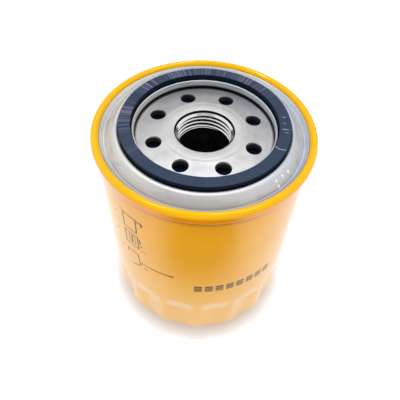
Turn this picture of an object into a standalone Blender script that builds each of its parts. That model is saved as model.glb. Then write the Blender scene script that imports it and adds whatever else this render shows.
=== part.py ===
"""A spin-on oil filter, as an assembly of its separate pieces.

The filter stands on its closed end with the mounting gasket upwards. The axis is +Z and the origin is
the centre of the foot ring. Lengths are in millimetres in this file and become metres when a mesh is made.
"""

import math

import bmesh
import bpy
from mathutils import Matrix, Vector

MM = 0.001
WELD = 0.00001

# ---------------------------------------------------------------- driving dimensions, in millimetres

SEAM_TOP = 112.0  # height of the rolled seam's crest above the foot
CAN_RADIUS = 46.4
CAN_WALL = 0.6
SHOULDER_RADIUS = 11.0
FOOT_INNER_RADIUS = CAN_RADIUS - 16.9
PANEL_RADIUS = FOOT_INNER_RADIUS - 4.0
PANEL_RISE = 2.0

FLUTE_COUNT = 16
FLUTE_DEPTH = 1.7
FLUTE_TOP = 36.0  # where the flutes begin to run out into the round wall
FLUTE_FULL = 27.0  # where they have their whole depth
FLUTE_RIDGE_ANGLE = -89.0

SEAM_RADIUS = CAN_RADIUS + 1.85
SEAM_THICKNESS = 3.5
SEAM_HEIGHT = 4.7
LID_SHEET = 0.8
LID_CREST_WIDTH = 1.5
LID_SLOPE_END = SEAM_RADIUS - 5.55

GASKET_OUTER = CAN_RADIUS - 10.0
GASKET_INNER = GASKET_OUTER - 5.0
GASKET_HEIGHT = 5.0
GASKET_PROUD = 3.0  # how far it stands above the seam
LIP_RISE = 0.5  # how far the lid's inner lip stands above the seam

PLATE_THICKNESS = 2.6
PLATE_RADIUS = CAN_RADIUS - 5.8
PLATE_DOME = 0.7  # the pressed centre stands this much above the plate's rim
INLET_COUNT = 8
INLET_RADIUS = 3.25
INLET_PHASE = 21.5

THREAD_MAJOR_RADIUS = 12.7
THREAD_PITCH = 25.4 / 12
THREAD_DEPTH = 1.05
COLLAR_HEIGHT = 9.4
COLLAR_WALL = 2.8

VALVE_RUBBER = 1.3

ELEMENT_RADIUS = CAN_RADIUS - 6.8
ELEMENT_TRAVEL = 1.5  # how far it can sink against the load spring
CAP_SHEET = 0.6
CAP_RIM = 4.2
POTTING_DEPTH = 2.4
TUBE_RADIUS = THREAD_MAJOR_RADIUS + 4.1
TUBE_WALL = 0.8
TUBE_HOLE_RADIUS = 2.75
TUBE_HOLE_ROWS = 5
TUBE_HOLE_COLUMNS = 6

PLEAT_COUNT = 48
PLEAT_OUTER = ELEMENT_RADIUS - 2.0
PLEAT_INNER = TUBE_RADIUS + 2.0
PAPER = 0.6
CLIP_SHEET = 0.5
CLIP_REACH = 6.5

LOAD_SPRING_WIRE = 2.4
LOAD_SPRING_RADIUS = PANEL_RADIUS - 5.5
LOAD_SPRING_TURNS = 3.6

BYPASS_HOLE_RADIUS = 8.0
BYPASS_TRAVEL = 4.0  # how far the poppet lifts off its seat
BYPASS_CAGE_RADIUS = TUBE_RADIUS - 2.2
BYPASS_CAGE_SHEET = 0.8
BYPASS_STEM_RADIUS = 3.2
BYPASS_SPRING_WIRE = 1.4
BYPASS_SPRING_RADIUS = 7.0
BYPASS_SPRING_TURNS = 5.2

SEATED = 0.3  # gap left between two pieces that touch
RUNNING = 0.4  # radial clearance of a piece that slides in another
SPRING_RESERVE = 2.2  # what a spring still has to give at the end of its travel

# ---------------------------------------------------------------- heights and radii worked out from them

SEAM_BOTTOM = SEAM_TOP - SEAM_HEIGHT
SEAM_INNER = SEAM_RADIUS - SEAM_THICKNESS
LEDGE_TOP = SEAM_BOTTOM + CAN_WALL
LID_RIM_BOTTOM = LEDGE_TOP + SEATED
LID_RIM_TOP = LID_RIM_BOTTOM + LID_SHEET
CURL_END = LID_RIM_TOP + SEATED
LID_FLANGE_OUTER = SEAM_RADIUS - CAN_WALL - SEATED
LID_FLANGE_TOP = SEAM_TOP - SEAM_THICKNESS / 2 - SEATED

GASKET_TOP = SEAM_TOP + GASKET_PROUD
GASKET_BOTTOM = GASKET_TOP - GASKET_HEIGHT
CHANNEL_FLOOR = GASKET_BOTTOM - SEATED
CHANNEL_OUTER = GASKET_OUTER + SEATED
LIP_OUTER = GASKET_INNER - RUNNING
LIP_INNER = LIP_OUTER - LID_SHEET
LIP_TOP = SEAM_TOP + LIP_RISE

PLATE_RIM_TOP = CHANNEL_FLOOR - LID_SHEET - SEATED
PLATE_CROWN = PLATE_RIM_TOP + PLATE_DOME
PLATE_BOTTOM = PLATE_RIM_TOP - PLATE_THICKNESS
THREAD_MINOR_RADIUS = THREAD_MAJOR_RADIUS - THREAD_DEPTH
COLLAR_RADIUS = THREAD_MAJOR_RADIUS + COLLAR_WALL
COLLAR_BOTTOM = PLATE_CROWN - COLLAR_HEIGHT
INLET_CIRCLE_RADIUS = (COLLAR_RADIUS + LIP_INNER) / 2 + 0.05

VALVE_NECK_INNER = COLLAR_RADIUS + RUNNING
VALVE_NECK_OUTER = VALVE_NECK_INNER + VALVE_RUBBER
VALVE_LIP_RADIUS = INLET_CIRCLE_RADIUS + INLET_RADIUS + 4.35
VALVE_LIP_TOP = PLATE_BOTTOM - SEATED
VALVE_NECK_BOTTOM = COLLAR_BOTTOM + RUNNING
GROMMET_TOP = COLLAR_BOTTOM - SEATED
GROMMET_HEIGHT = 1.7
GROMMET_INNER = THREAD_MAJOR_RADIUS + RUNNING

ELEMENT_TOP = GROMMET_TOP - GROMMET_HEIGHT - SEATED
LOAD_SPRING_HEIGHT = LOAD_SPRING_TURNS * LOAD_SPRING_WIRE + ELEMENT_TRAVEL + SPRING_RESERVE
PANEL_INSIDE = PANEL_RISE + CAN_WALL
SPRING_SEAT = PANEL_INSIDE + SEATED
ELEMENT_BOTTOM = SPRING_SEAT + LOAD_SPRING_HEIGHT + SEATED
CAP_TRAY_TOP = ELEMENT_TOP - 0.7
CAP_UNDERSIDE = CAP_TRAY_TOP - CAP_SHEET
LOWER_CAP_TOP = ELEMENT_BOTTOM + CAP_SHEET
TUBE_INNER = TUBE_RADIUS - TUBE_WALL
TUBE_TOP = CAP_UNDERSIDE - SEATED
TUBE_BOTTOM = LOWER_CAP_TOP + SEATED
CAP_HOLE_RADIUS = TUBE_INNER - SEATED - CAP_SHEET
POTTING_OUTER = ELEMENT_RADIUS - CAP_SHEET - SEATED
POTTING_INNER = TUBE_RADIUS + SEATED
UPPER_POTTING_TOP = CAP_UNDERSIDE - SEATED
LOWER_POTTING_BOTTOM = LOWER_CAP_TOP + SEATED
MEDIA_TOP = UPPER_POTTING_TOP - POTTING_DEPTH - SEATED
MEDIA_BOTTOM = LOWER_POTTING_BOTTOM + POTTING_DEPTH + SEATED

SEAT_TOP = LOWER_CAP_TOP + SEATED + 1.5
SEAT_FLANGE_RADIUS = BYPASS_HOLE_RADIUS + 4.2
SEAT_NECK_RADIUS = BYPASS_HOLE_RADIUS + 1.7
SEAL_BOTTOM = SEAT_TOP + SEATED
SEAL_THICKNESS = 1.2
SEAL_RADIUS = BYPASS_HOLE_RADIUS + 2.8
POPPET_BOTTOM = SEAL_BOTTOM + SEAL_THICKNESS + SEATED
POPPET_PLATE = 1.5
BYPASS_SPRING_HEIGHT = BYPASS_SPRING_TURNS * BYPASS_SPRING_WIRE + BYPASS_TRAVEL + SPRING_RESERVE
BYPASS_SPRING_BOTTOM = POPPET_BOTTOM + POPPET_PLATE + SEATED
BYPASS_SPRING_TOP = BYPASS_SPRING_BOTTOM + BYPASS_SPRING_HEIGHT
CAGE_ROOF = BYPASS_SPRING_TOP + SEATED + BYPASS_CAGE_SHEET
STEM_TOP = CAGE_ROOF + 1.7

CAN_STEPS = 4 * FLUTE_COUNT
TURN_STEPS = 36
INNER_STEPS = 28
SMALL_STEPS = 20

# ---------------------------------------------------------------- helpers


def new_collection(name):
    collection = bpy.data.collections.new(name)
    bpy.context.scene.collection.children.link(collection)
    return collection


def paint(name, colour, roughness, metallic):
    material = bpy.data.materials.new(name)
    material.use_nodes = True
    shader = material.node_tree.nodes["Principled BSDF"]
    shader.inputs["Base Color"].default_value = (*colour, 1.0)
    shader.inputs["Roughness"].default_value = roughness
    shader.inputs["Metallic"].default_value = metallic
    return material


def add_object(name, data, material=None, collection=None):
    obj = bpy.data.objects.new(name, data)
    (collection or FILTER).objects.link(obj)
    if material:
        data.materials.append(material)
    return obj


def as_cutter(obj):
    """Moves an object to the cutters, so that it shapes other pieces and isn't one itself."""
    for collection in list(obj.users_collection):
        collection.objects.unlink(obj)
    CUTTERS.objects.link(obj)
    obj.hide_render = True
    obj.display_type = "WIRE"
    return obj


def filleted(corners, steps=3):
    """A polyline through (radius, height, fillet radius) corners, with each fillet as an arc."""
    points = []
    for index, (x, z, fillet) in enumerate(corners):
        here = Vector((x, z))
        if not fillet or index in (0, len(corners) - 1):
            points.append((x, z))
            continue
        before = (Vector(corners[index - 1][:2]) - here).normalized()
        after = (Vector(corners[index + 1][:2]) - here).normalized()
        half = before.angle(after) / 2
        centre = here + (before + after).normalized() * fillet / math.sin(half)
        start = here + before * fillet / math.tan(half) - centre
        end = here + after * fillet / math.tan(half) - centre
        sweep = start.angle_signed(end)
        for step in range(steps + 1):
            arm = start.copy()
            arm.rotate(Matrix.Rotation(-sweep * step / steps, 2))
            points.append(tuple(centre + arm))
    return points


def profile_mesh(name, points, closed):
    mesh = bpy.data.meshes.new(name)
    count = len(points)
    edges = [(i, i + 1) for i in range(count - 1)]
    if closed:
        edges.append((count - 1, 0))
    mesh.from_pydata([(r * MM, 0, z * MM) for r, z in points], edges, [])
    return mesh


def screw(obj, steps, rise=0.0, turns=1):
    modifier = obj.modifiers.new("turn", "SCREW")
    modifier.steps = modifier.render_steps = steps
    modifier.screw_offset = rise * MM
    modifier.iterations = turns
    modifier.use_merge_vertices = True
    modifier.merge_threshold = WELD
    return modifier


def turned(name, points, material, steps=TURN_STEPS, closed=True):
    """A turned piece. The profile runs down its outer side; an open one starts and ends on the axis."""
    obj = add_object(name, profile_mesh(name, points, closed), material)
    screw(obj, steps)
    return obj


def thicken(obj, sheet):
    modifier = obj.modifiers.new("sheet", "SOLIDIFY")
    modifier.thickness = sheet * MM
    modifier.offset = -1
    modifier.use_even_offset = True
    return obj


def turned_sheet(name, skin, sheet, material, steps=TURN_STEPS):
    """A pressed piece of sheet metal: its turned outer skin, thickened inwards."""
    return thicken(turned(name, skin, material, steps, closed=False), sheet)


def cut(obj, cutter):
    modifier = obj.modifiers.new(cutter.name, "BOOLEAN")
    modifier.operation = "DIFFERENCE"
    modifier.object = cutter
    return obj


def baked(obj):
    """Replaces an object's mesh by what its modifiers make of it."""
    bpy.context.view_layer.update()
    evaluated = obj.evaluated_get(bpy.context.evaluated_depsgraph_get())
    mesh = bpy.data.meshes.new_from_object(evaluated)
    obj.modifiers.clear()
    obj.data = mesh
    return obj


def rods(name, placements, radius, length, sides):
    """One cutter made of several cylinders, each placed by a matrix in millimetres."""
    mesh = bpy.data.meshes.new(name)
    form = bmesh.new()
    for placement in placements:
        made = bmesh.ops.create_cone(
            form, cap_ends=True, segments=sides, radius1=radius, radius2=radius, depth=length
        )
        bmesh.ops.transform(form, matrix=placement, verts=made["verts"])
    bmesh.ops.scale(form, vec=(MM, MM, MM), verts=form.verts)
    form.to_mesh(mesh)
    form.free()
    return as_cutter(add_object(name, mesh))


def bars(name, placements, size):
    """One cutter made of several boxes, each placed by a matrix in millimetres."""
    mesh = bpy.data.meshes.new(name)
    form = bmesh.new()
    for placement in placements:
        made = bmesh.ops.create_cube(form, size=1.0)
        bmesh.ops.scale(form, vec=size, verts=made["verts"])
        bmesh.ops.transform(form, matrix=placement, verts=made["verts"])
    bmesh.ops.scale(form, vec=(MM, MM, MM), verts=form.verts)
    form.to_mesh(mesh)
    form.free()
    return as_cutter(add_object(name, mesh))


def flat_outline(name, outlines, low, high, material):
    """A flat outline, with holes where one lies in another, extruded between two heights."""
    curve = bpy.data.curves.new(name, "CURVE")
    curve.dimensions = "2D"
    curve.fill_mode = "BOTH"
    curve.extrude = (high - low) / 2 * MM
    for outline in outlines:
        spline = curve.splines.new("POLY")
        spline.points.add(len(outline) - 1)
        for point, (x, y) in zip(spline.points, outline):
            point.co = (x * MM, y * MM, 0, 1)
        spline.use_cyclic_u = True
    obj = add_object(name, curve, material)
    obj.location.z = (low + high) / 2 * MM
    return obj


def coil_spring(name, radius, wire, low, high, turns, steps_per_turn, material):
    """A compression spring with closed ends, whose wire stays between the two heights."""
    ends = 0.8  # turns at each end that lie close to their neighbour
    close_pitch = wire * 1.12
    start, stop = low + wire / 2, high - wire / 2
    active = turns - 2 * ends
    open_pitch = (stop - start - 2 * ends * close_pitch) / active
    count = round(turns * steps_per_turn)
    curve = bpy.data.curves.new(name, "CURVE")
    curve.dimensions = "3D"
    curve.bevel_depth = wire / 2 * MM
    curve.bevel_resolution = 2
    curve.use_fill_caps = True
    spline = curve.splines.new("POLY")
    spline.points.add(count)
    for index, point in enumerate(spline.points):
        turn = turns * index / count
        lower = min(turn, ends)
        middle = min(max(turn - ends, 0), active)
        upper = max(turn - ends - active, 0)
        height = start + (lower + upper) * close_pitch + middle * open_pitch
        angle = math.tau * turn
        point.co = (radius * math.cos(angle) * MM, radius * math.sin(angle) * MM, height * MM, 1)
    return add_object(name, curve, material)


def on_circle(radius, degrees):
    angle = math.radians(degrees)
    return radius * math.cos(angle), radius * math.sin(angle)


# ---------------------------------------------------------------- canister


def flute_press(angle, height, radius):
    """How far the wall is pressed in at this place, by concave flutes with narrow ridges between them."""
    pitch = math.tau / FLUTE_COUNT
    across = ((angle - math.radians(FLUTE_RIDGE_ANGLE)) / pitch) % 1.0 * 2 - 1
    hollow = 0.55 * (1 - across**2) + 0.45 * math.cos(across * math.pi / 2) ** 2
    rise = min(max((FLUTE_TOP - height) / (FLUTE_TOP - FLUTE_FULL), 0), 1)
    run_out = rise * rise * (3 - 2 * rise)
    foot_radius = CAN_RADIUS - SHOULDER_RADIUS
    fade = min(max((radius - foot_radius) / (SHOULDER_RADIUS * 0.6), 0), 1)
    return FLUTE_DEPTH * hollow * run_out * fade


def can_skin():
    """The outer skin from the seam's curl, over the roll, down the wall and in to the axis."""
    roll = SEAM_THICKNESS / 2
    curl = [(SEAM_INNER, CURL_END)]
    for step in range(5):
        angle = math.pi * (1 - step / 4)
        curl.append((SEAM_RADIUS - roll + roll * math.cos(angle), SEAM_TOP - roll + roll * math.sin(angle)))
    ledge = filleted(
        [
            (SEAM_RADIUS, SEAM_TOP - roll, 0),
            (SEAM_RADIUS, SEAM_BOTTOM, 0.8),
            (CAN_RADIUS, SEAM_BOTTOM - 0.7, 0),
            (CAN_RADIUS, FLUTE_TOP, 0),
        ],
        1,
    )[1:]
    flutes = [(CAN_RADIUS, FLUTE_TOP + (FLUTE_FULL - FLUTE_TOP) * share) for share in (0.3, 0.7, 1)]
    shoulder = []
    for step in range(5):
        angle = -math.pi / 2 * step / 4
        arm = Vector((math.cos(angle), math.sin(angle))) * SHOULDER_RADIUS
        shoulder.append((CAN_RADIUS - SHOULDER_RADIUS + arm.x, SHOULDER_RADIUS + arm.y))
    foot = filleted(
        [
            (CAN_RADIUS - SHOULDER_RADIUS, 0, 0),
            (FOOT_INNER_RADIUS, 0, 0),
            (PANEL_RADIUS, PANEL_RISE, 0),
            (0, PANEL_RISE, 0),
        ]
    )[1:]
    return curl + ledge + flutes + shoulder + foot


def build_canister():
    can = baked(turned("canister", can_skin(), PAINT, CAN_STEPS, closed=False))
    for vertex in can.data.vertices:
        x, y, z = vertex.co / MM
        radius = math.hypot(x, y)
        if z > FLUTE_TOP or radius < PANEL_RADIUS:
            continue
        pressed = radius - flute_press(math.atan2(y, x), z, radius)
        vertex.co.x *= pressed / radius
        vertex.co.y *= pressed / radius
    thicken(can, CAN_WALL)


# ---------------------------------------------------------------- lid, base plate, gasket and seam compound


def build_lid():
    crest_outer = CHANNEL_OUTER + LID_CREST_WIDTH
    skin = filleted(
        [
            (LIP_OUTER - LID_SHEET, LIP_TOP, 0),
            (LIP_OUTER - LID_SHEET, CHANNEL_FLOOR - LID_SHEET, 0.9),
            (CHANNEL_OUTER + LID_SHEET, CHANNEL_FLOOR - LID_SHEET, 0.9),
            (CHANNEL_OUTER + LID_SHEET, SEAM_TOP - LID_SHEET, 0),
            (crest_outer, SEAM_TOP - LID_SHEET, 1.2),
            (LID_SLOPE_END, LID_RIM_BOTTOM, 1.4),
            (LID_FLANGE_OUTER, LID_RIM_BOTTOM, 0.9),
            (LID_FLANGE_OUTER, LID_FLANGE_TOP, 0),
        ],
        1,
    )
    turned_sheet("seaming_lid", list(reversed(skin)), LID_SHEET, ZINC)


def build_seam_compound():
    inner = SEAM_INNER + CAN_WALL + SEATED
    outer = LID_FLANGE_OUTER - LID_SHEET - SEATED
    low = LID_RIM_TOP + SEATED
    high = LID_FLANGE_TOP
    turned("seam_compound", [(inner, high), (outer, high), (outer, low), (inner, low)], COMPOUND)


def build_gasket():
    corner = 0.5
    outline = [
        (GASKET_INNER + corner, GASKET_TOP),
        (GASKET_OUTER - corner, GASKET_TOP),
        (GASKET_OUTER, GASKET_TOP - corner),
        (GASKET_OUTER, GASKET_BOTTOM),
        (GASKET_INNER, GASKET_BOTTOM),
        (GASKET_INNER, GASKET_TOP - corner),
    ]
    turned("mounting_gasket", outline, RUBBER)


def thread_cutter():
    """A helical groove of 60 degree form, long enough to run out at both ends of the collar."""
    slope = math.tan(math.radians(30))
    reach = 0.4
    root_half = THREAD_PITCH / 16
    mouth_half = root_half + (THREAD_DEPTH + reach) * slope
    inner = THREAD_MINOR_RADIUS - reach
    turns = math.ceil(COLLAR_HEIGHT / THREAD_PITCH) + 2
    low = COLLAR_BOTTOM - THREAD_PITCH * 1.25
    outline = [
        (inner, low + mouth_half),
        (THREAD_MAJOR_RADIUS, low + root_half),
        (THREAD_MAJOR_RADIUS, low - root_half),
        (inner, low - mouth_half),
    ]
    cutter = add_object("thread_groove", profile_mesh("thread_groove", outline, closed=True))
    screw(cutter, TURN_STEPS, THREAD_PITCH, turns)
    baked(cutter)
    form = bmesh.new()
    form.from_mesh(cutter.data)
    # a third of a step of turn keeps the groove's corners off those of the bore
    bmesh.ops.rotate(form, matrix=Matrix.Rotation(math.tau / TURN_STEPS / 3, 3, "Z"), verts=form.verts)
    bmesh.ops.holes_fill(form, edges=form.edges, sides=4)
    bmesh.ops.recalc_face_normals(form, faces=form.faces)
    form.to_mesh(cutter.data)
    form.free()
    return as_cutter(cutter)


def build_base_plate():
    mouth = 1.3
    outline = filleted(
        [
            (THREAD_MINOR_RADIUS, PLATE_CROWN - mouth, 0),
            (THREAD_MINOR_RADIUS + mouth, PLATE_CROWN, 0),
            (COLLAR_RADIUS + 1.5, PLATE_CROWN, 0),
            (LIP_INNER - 2.0, PLATE_RIM_TOP, 0),
            (PLATE_RADIUS, PLATE_RIM_TOP, 0),
            (PLATE_RADIUS, PLATE_BOTTOM, 0),
            (COLLAR_RADIUS + 0.1, PLATE_BOTTOM, 0),
            (COLLAR_RADIUS, PLATE_BOTTOM - 0.1, 0),
            (COLLAR_RADIUS, COLLAR_BOTTOM + 0.5, 0),
            (COLLAR_RADIUS - 0.5, COLLAR_BOTTOM, 0),
            (THREAD_MINOR_RADIUS + 0.5, COLLAR_BOTTOM, 0),
            (THREAD_MINOR_RADIUS, COLLAR_BOTTOM + 0.5, 0),
        ]
    )
    plate = turned("base_plate", outline, STEEL)
    places = []
    for index in range(INLET_COUNT):
        x, y = on_circle(INLET_CIRCLE_RADIUS, INLET_PHASE + 360 * index / INLET_COUNT)
        places.append(Matrix.Translation((x, y, PLATE_RIM_TOP)))
    cut(plate, rods("inlet_holes", places, INLET_RADIUS, 4 * PLATE_THICKNESS, 16))
    cut(plate, thread_cutter())


# ---------------------------------------------------------------- anti-drain-back valve


def build_drain_valve():
    """A rubber flap round the threaded collar, whose lip closes the inlet holes from below."""
    cone_bottom = VALVE_LIP_TOP - 2.6
    root = VALVE_NECK_OUTER + 1.0
    outline = [
        (VALVE_NECK_INNER, cone_bottom + 0.9),
        (root, cone_bottom + 0.6),
        (VALVE_LIP_RADIUS - 2.0, VALVE_LIP_TOP - 0.5),
        (VALVE_LIP_RADIUS - 1.2, VALVE_LIP_TOP),
        (VALVE_LIP_RADIUS, VALVE_LIP_TOP),
        (VALVE_LIP_RADIUS, VALVE_LIP_TOP - VALVE_RUBBER),
        (root + 1.0, cone_bottom - VALVE_RUBBER + 0.9),
        (VALVE_NECK_OUTER, cone_bottom - VALVE_RUBBER),
        (VALVE_NECK_OUTER, VALVE_NECK_BOTTOM),
        (VALVE_NECK_INNER, VALVE_NECK_BOTTOM),
    ]
    turned("anti_drain_valve", outline, VALVE_RUBBER_BLACK, INNER_STEPS)


# ---------------------------------------------------------------- filter element


def build_grommet():
    outline = [
        (GROMMET_INNER, GROMMET_TOP),
        (COLLAR_RADIUS, GROMMET_TOP),
        (COLLAR_RADIUS, GROMMET_TOP - GROMMET_HEIGHT),
        (GROMMET_INNER, GROMMET_TOP - GROMMET_HEIGHT),
    ]
    turned("neck_grommet", outline, RUBBER, SMALL_STEPS)


def build_end_caps():
    rim = ELEMENT_RADIUS
    upper = filleted(
        [
            (CAP_HOLE_RADIUS, CAP_TRAY_TOP - CAP_RIM, 0),
            (CAP_HOLE_RADIUS, ELEMENT_TOP, 0),
            (COLLAR_RADIUS + 1.0, ELEMENT_TOP, 0),
            (COLLAR_RADIUS + 2.4, CAP_TRAY_TOP, 0),
            (rim, CAP_TRAY_TOP, 0.8),
            (rim, CAP_TRAY_TOP - CAP_RIM, 0),
        ],
        1,
    )
    turned_sheet("upper_end_cap", upper, CAP_SHEET, TIN, INNER_STEPS)
    lower = filleted(
        [
            (rim, ELEMENT_BOTTOM + CAP_RIM, 0),
            (rim, ELEMENT_BOTTOM, 0.8),
            (SEAT_NECK_RADIUS + SEATED, ELEMENT_BOTTOM, 0),
        ],
        1,
    )
    turned_sheet("lower_end_cap", lower, CAP_SHEET, TIN, INNER_STEPS)


def build_potting():
    for name, top in (
        ("upper_potting", UPPER_POTTING_TOP),
        ("lower_potting", LOWER_POTTING_BOTTOM + POTTING_DEPTH),
    ):
        low = top - POTTING_DEPTH
        outline = [(POTTING_INNER, top), (POTTING_OUTER, top), (POTTING_OUTER, low), (POTTING_INNER, low)]
        turned(name, outline, PLASTISOL, INNER_STEPS)


def pleat_outlines():
    """The outer and inner outlines of the pleated paper, four points for each pleat."""
    outer_half, valley_half = 0.95, 0.25
    pitch = 360 / PLEAT_COUNT

    def beside(radius, degrees, shift):
        angle = math.radians(degrees)
        along = Vector((math.cos(angle), math.sin(angle))) * radius
        return tuple(along + Vector((-math.sin(angle), math.cos(angle))) * shift)

    outer, inner = [], []
    for index in range(PLEAT_COUNT):
        fold = index * pitch
        valley = fold + pitch / 2
        for side in (-1, 1):
            outer.append(beside(PLEAT_OUTER, fold, side * outer_half))
            inner.append(beside(PLEAT_OUTER - PAPER, fold, side * (outer_half - PAPER)))
        for side in (-1, 1):
            outer.append(beside(PLEAT_INNER + PAPER, valley, side * valley_half))
            inner.append(beside(PLEAT_INNER, valley, side * (valley_half + PAPER)))
    return outer, inner


def build_media():
    flat_outline("pleated_media", pleat_outlines(), MEDIA_BOTTOM, MEDIA_TOP, PAPER_BROWN)
    inside = 0.95 + SEATED
    outside = inside + CLIP_SHEET
    back = PLEAT_OUTER + SEATED
    front = PLEAT_OUTER - CLIP_REACH
    channel = [
        (front, -outside),
        (back + CLIP_SHEET, -outside),
        (back + CLIP_SHEET, outside),
        (front, outside),
        (front, inside),
        (back, inside),
        (back, -inside),
        (front, -inside),
    ]
    flat_outline("media_seam_clip", [channel], MEDIA_BOTTOM, MEDIA_TOP, TIN)


def build_centre_tube():
    outline = [
        (TUBE_INNER, TUBE_TOP),
        (TUBE_RADIUS, TUBE_TOP),
        (TUBE_RADIUS, TUBE_BOTTOM),
        (TUBE_INNER, TUBE_BOTTOM),
    ]
    tube = turned("centre_tube", outline, TIN, SMALL_STEPS)
    places = []
    row_pitch = (MEDIA_TOP - MEDIA_BOTTOM) / TUBE_HOLE_ROWS
    column_pitch = 360 / TUBE_HOLE_COLUMNS
    for row in range(TUBE_HOLE_ROWS):
        height = MEDIA_BOTTOM + (row + 0.5) * row_pitch
        for column in range(TUBE_HOLE_COLUMNS):
            turn = math.radians((column + row % 2 / 2 + 0.25) * column_pitch)
            aim = Matrix.Rotation(turn, 4, "Z") @ Matrix.Rotation(math.pi / 2, 4, "Y")
            out = Matrix.Translation((*on_circle(TUBE_RADIUS, math.degrees(turn)), height))
            places.append(out @ aim)
    cut(tube, rods("tube_holes", places, TUBE_HOLE_RADIUS, 5.0, 8))


# ---------------------------------------------------------------- by-pass valve


def build_bypass_valve():
    seat = [
        (BYPASS_HOLE_RADIUS, SEAT_TOP),
        (SEAT_FLANGE_RADIUS, SEAT_TOP),
        (SEAT_FLANGE_RADIUS, LOWER_CAP_TOP + SEATED),
        (SEAT_NECK_RADIUS, LOWER_CAP_TOP + SEATED),
        (SEAT_NECK_RADIUS, ELEMENT_BOTTOM - 0.8),
        (BYPASS_HOLE_RADIUS, ELEMENT_BOTTOM - 0.8),
    ]
    turned("bypass_seat", seat, TIN, SMALL_STEPS)
    seal_top = SEAL_BOTTOM + SEAL_THICKNESS
    seal = [(0, seal_top), (SEAL_RADIUS, seal_top), (SEAL_RADIUS, SEAL_BOTTOM), (0, SEAL_BOTTOM)]
    turned("bypass_seal", seal, RUBBER, SMALL_STEPS, closed=False)
    plate_top = POPPET_BOTTOM + POPPET_PLATE
    poppet = [
        (0, STEM_TOP),
        (BYPASS_STEM_RADIUS - 0.6, STEM_TOP),
        (BYPASS_STEM_RADIUS, STEM_TOP - 0.6),
        (BYPASS_STEM_RADIUS, plate_top),
        (SEAL_RADIUS, plate_top),
        (SEAL_RADIUS, POPPET_BOTTOM),
        (0, POPPET_BOTTOM),
    ]
    turned("bypass_poppet", poppet, NYLON, SMALL_STEPS, closed=False)
    build_bypass_cage()
    coil_spring(
        "bypass_spring",
        BYPASS_SPRING_RADIUS,
        BYPASS_SPRING_WIRE,
        BYPASS_SPRING_BOTTOM,
        BYPASS_SPRING_TOP,
        BYPASS_SPRING_TURNS,
        12,
        SPRING_STEEL,
    )


def build_bypass_cage():
    """A pressed cup over the poppet and its spring, with four windows for the oil."""
    flange_outer = TUBE_INNER - SEATED
    flange_top = LOWER_CAP_TOP + SEATED + BYPASS_CAGE_SHEET
    skin = [
        (BYPASS_STEM_RADIUS + RUNNING, CAGE_ROOF),
        (BYPASS_CAGE_RADIUS - 1.0, CAGE_ROOF),
        (BYPASS_CAGE_RADIUS, CAGE_ROOF - 1.0),
        (BYPASS_CAGE_RADIUS, flange_top),
        (flange_outer, flange_top),
    ]
    cage = turned_sheet("bypass_cage", skin, BYPASS_CAGE_SHEET, TIN, SMALL_STEPS)
    window_low, window_high = SEAT_TOP + 1.5, CAGE_ROOF - 3.5
    middle = Matrix.Translation((0, 0, (window_low + window_high) / 2))
    places = [middle, middle @ Matrix.Rotation(math.pi / 2, 4, "Z")]
    size = (3 * BYPASS_CAGE_RADIUS, BYPASS_CAGE_RADIUS * 0.9, window_high - window_low)
    cutter_cross = [bars(f"cage_windows_{turn}", [place], size) for turn, place in enumerate(places)]
    for cutter in cutter_cross:
        cut(cage, cutter)


def build_load_spring():
    coil_spring(
        "load_spring",
        LOAD_SPRING_RADIUS,
        LOAD_SPRING_WIRE,
        SPRING_SEAT,
        SPRING_SEAT + LOAD_SPRING_HEIGHT,
        LOAD_SPRING_TURNS,
        16,
        SPRING_STEEL,
    )


# ---------------------------------------------------------------- the filter

for old in list(bpy.data.objects):
    bpy.data.objects.remove(old)
FILTER = new_collection("oil_filter")
CUTTERS = new_collection("cutters")

PAINT = paint("yellow_paint", (0.86, 0.42, 0.03), 0.3, 0.0)
ZINC = paint("zinc_plated_sheet", (0.72, 0.74, 0.75), 0.35, 1.0)
STEEL = paint("pressed_steel", (0.66, 0.65, 0.64), 0.32, 1.0)
TIN = paint("tinplate", (0.68, 0.68, 0.66), 0.4, 1.0)
SPRING_STEEL = paint("spring_steel", (0.4, 0.4, 0.42), 0.35, 1.0)
RUBBER = paint("black_rubber", (0.05, 0.06, 0.08), 0.6, 0.0)
VALVE_RUBBER_BLACK = paint("valve_rubber", (0.02, 0.02, 0.03), 0.35, 0.0)
COMPOUND = paint("seam_compound", (0.12, 0.1, 0.09), 0.7, 0.0)
PLASTISOL = paint("plastisol", (0.5, 0.12, 0.08), 0.5, 0.0)
PAPER_BROWN = paint("filter_paper", (0.72, 0.58, 0.36), 0.85, 0.0)
NYLON = paint("white_nylon", (0.8, 0.78, 0.72), 0.5, 0.0)

build_canister()
build_lid()
build_seam_compound()
build_gasket()
build_base_plate()
build_drain_valve()
build_grommet()
build_end_caps()
build_potting()
build_media()
build_centre_tube()
build_bypass_valve()
build_load_spring()
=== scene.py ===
# %% [markdown]
# A spin-on oil filter, modelled
#
# A spin-on filter is a closed steel can with a pleated element inside. The engine's threaded stud screws into the
# plate at its open end, and the black gasket seals against the engine. Here the can stands on its closed end, the
# way it stands on a bench. The frame that is loaded first holds the filter's real sizes and its moving bodies. Each
# cell below makes one piece, or one finish, to fit that frame.

import math

import bpy
from mathutils import Matrix, Vector


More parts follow.
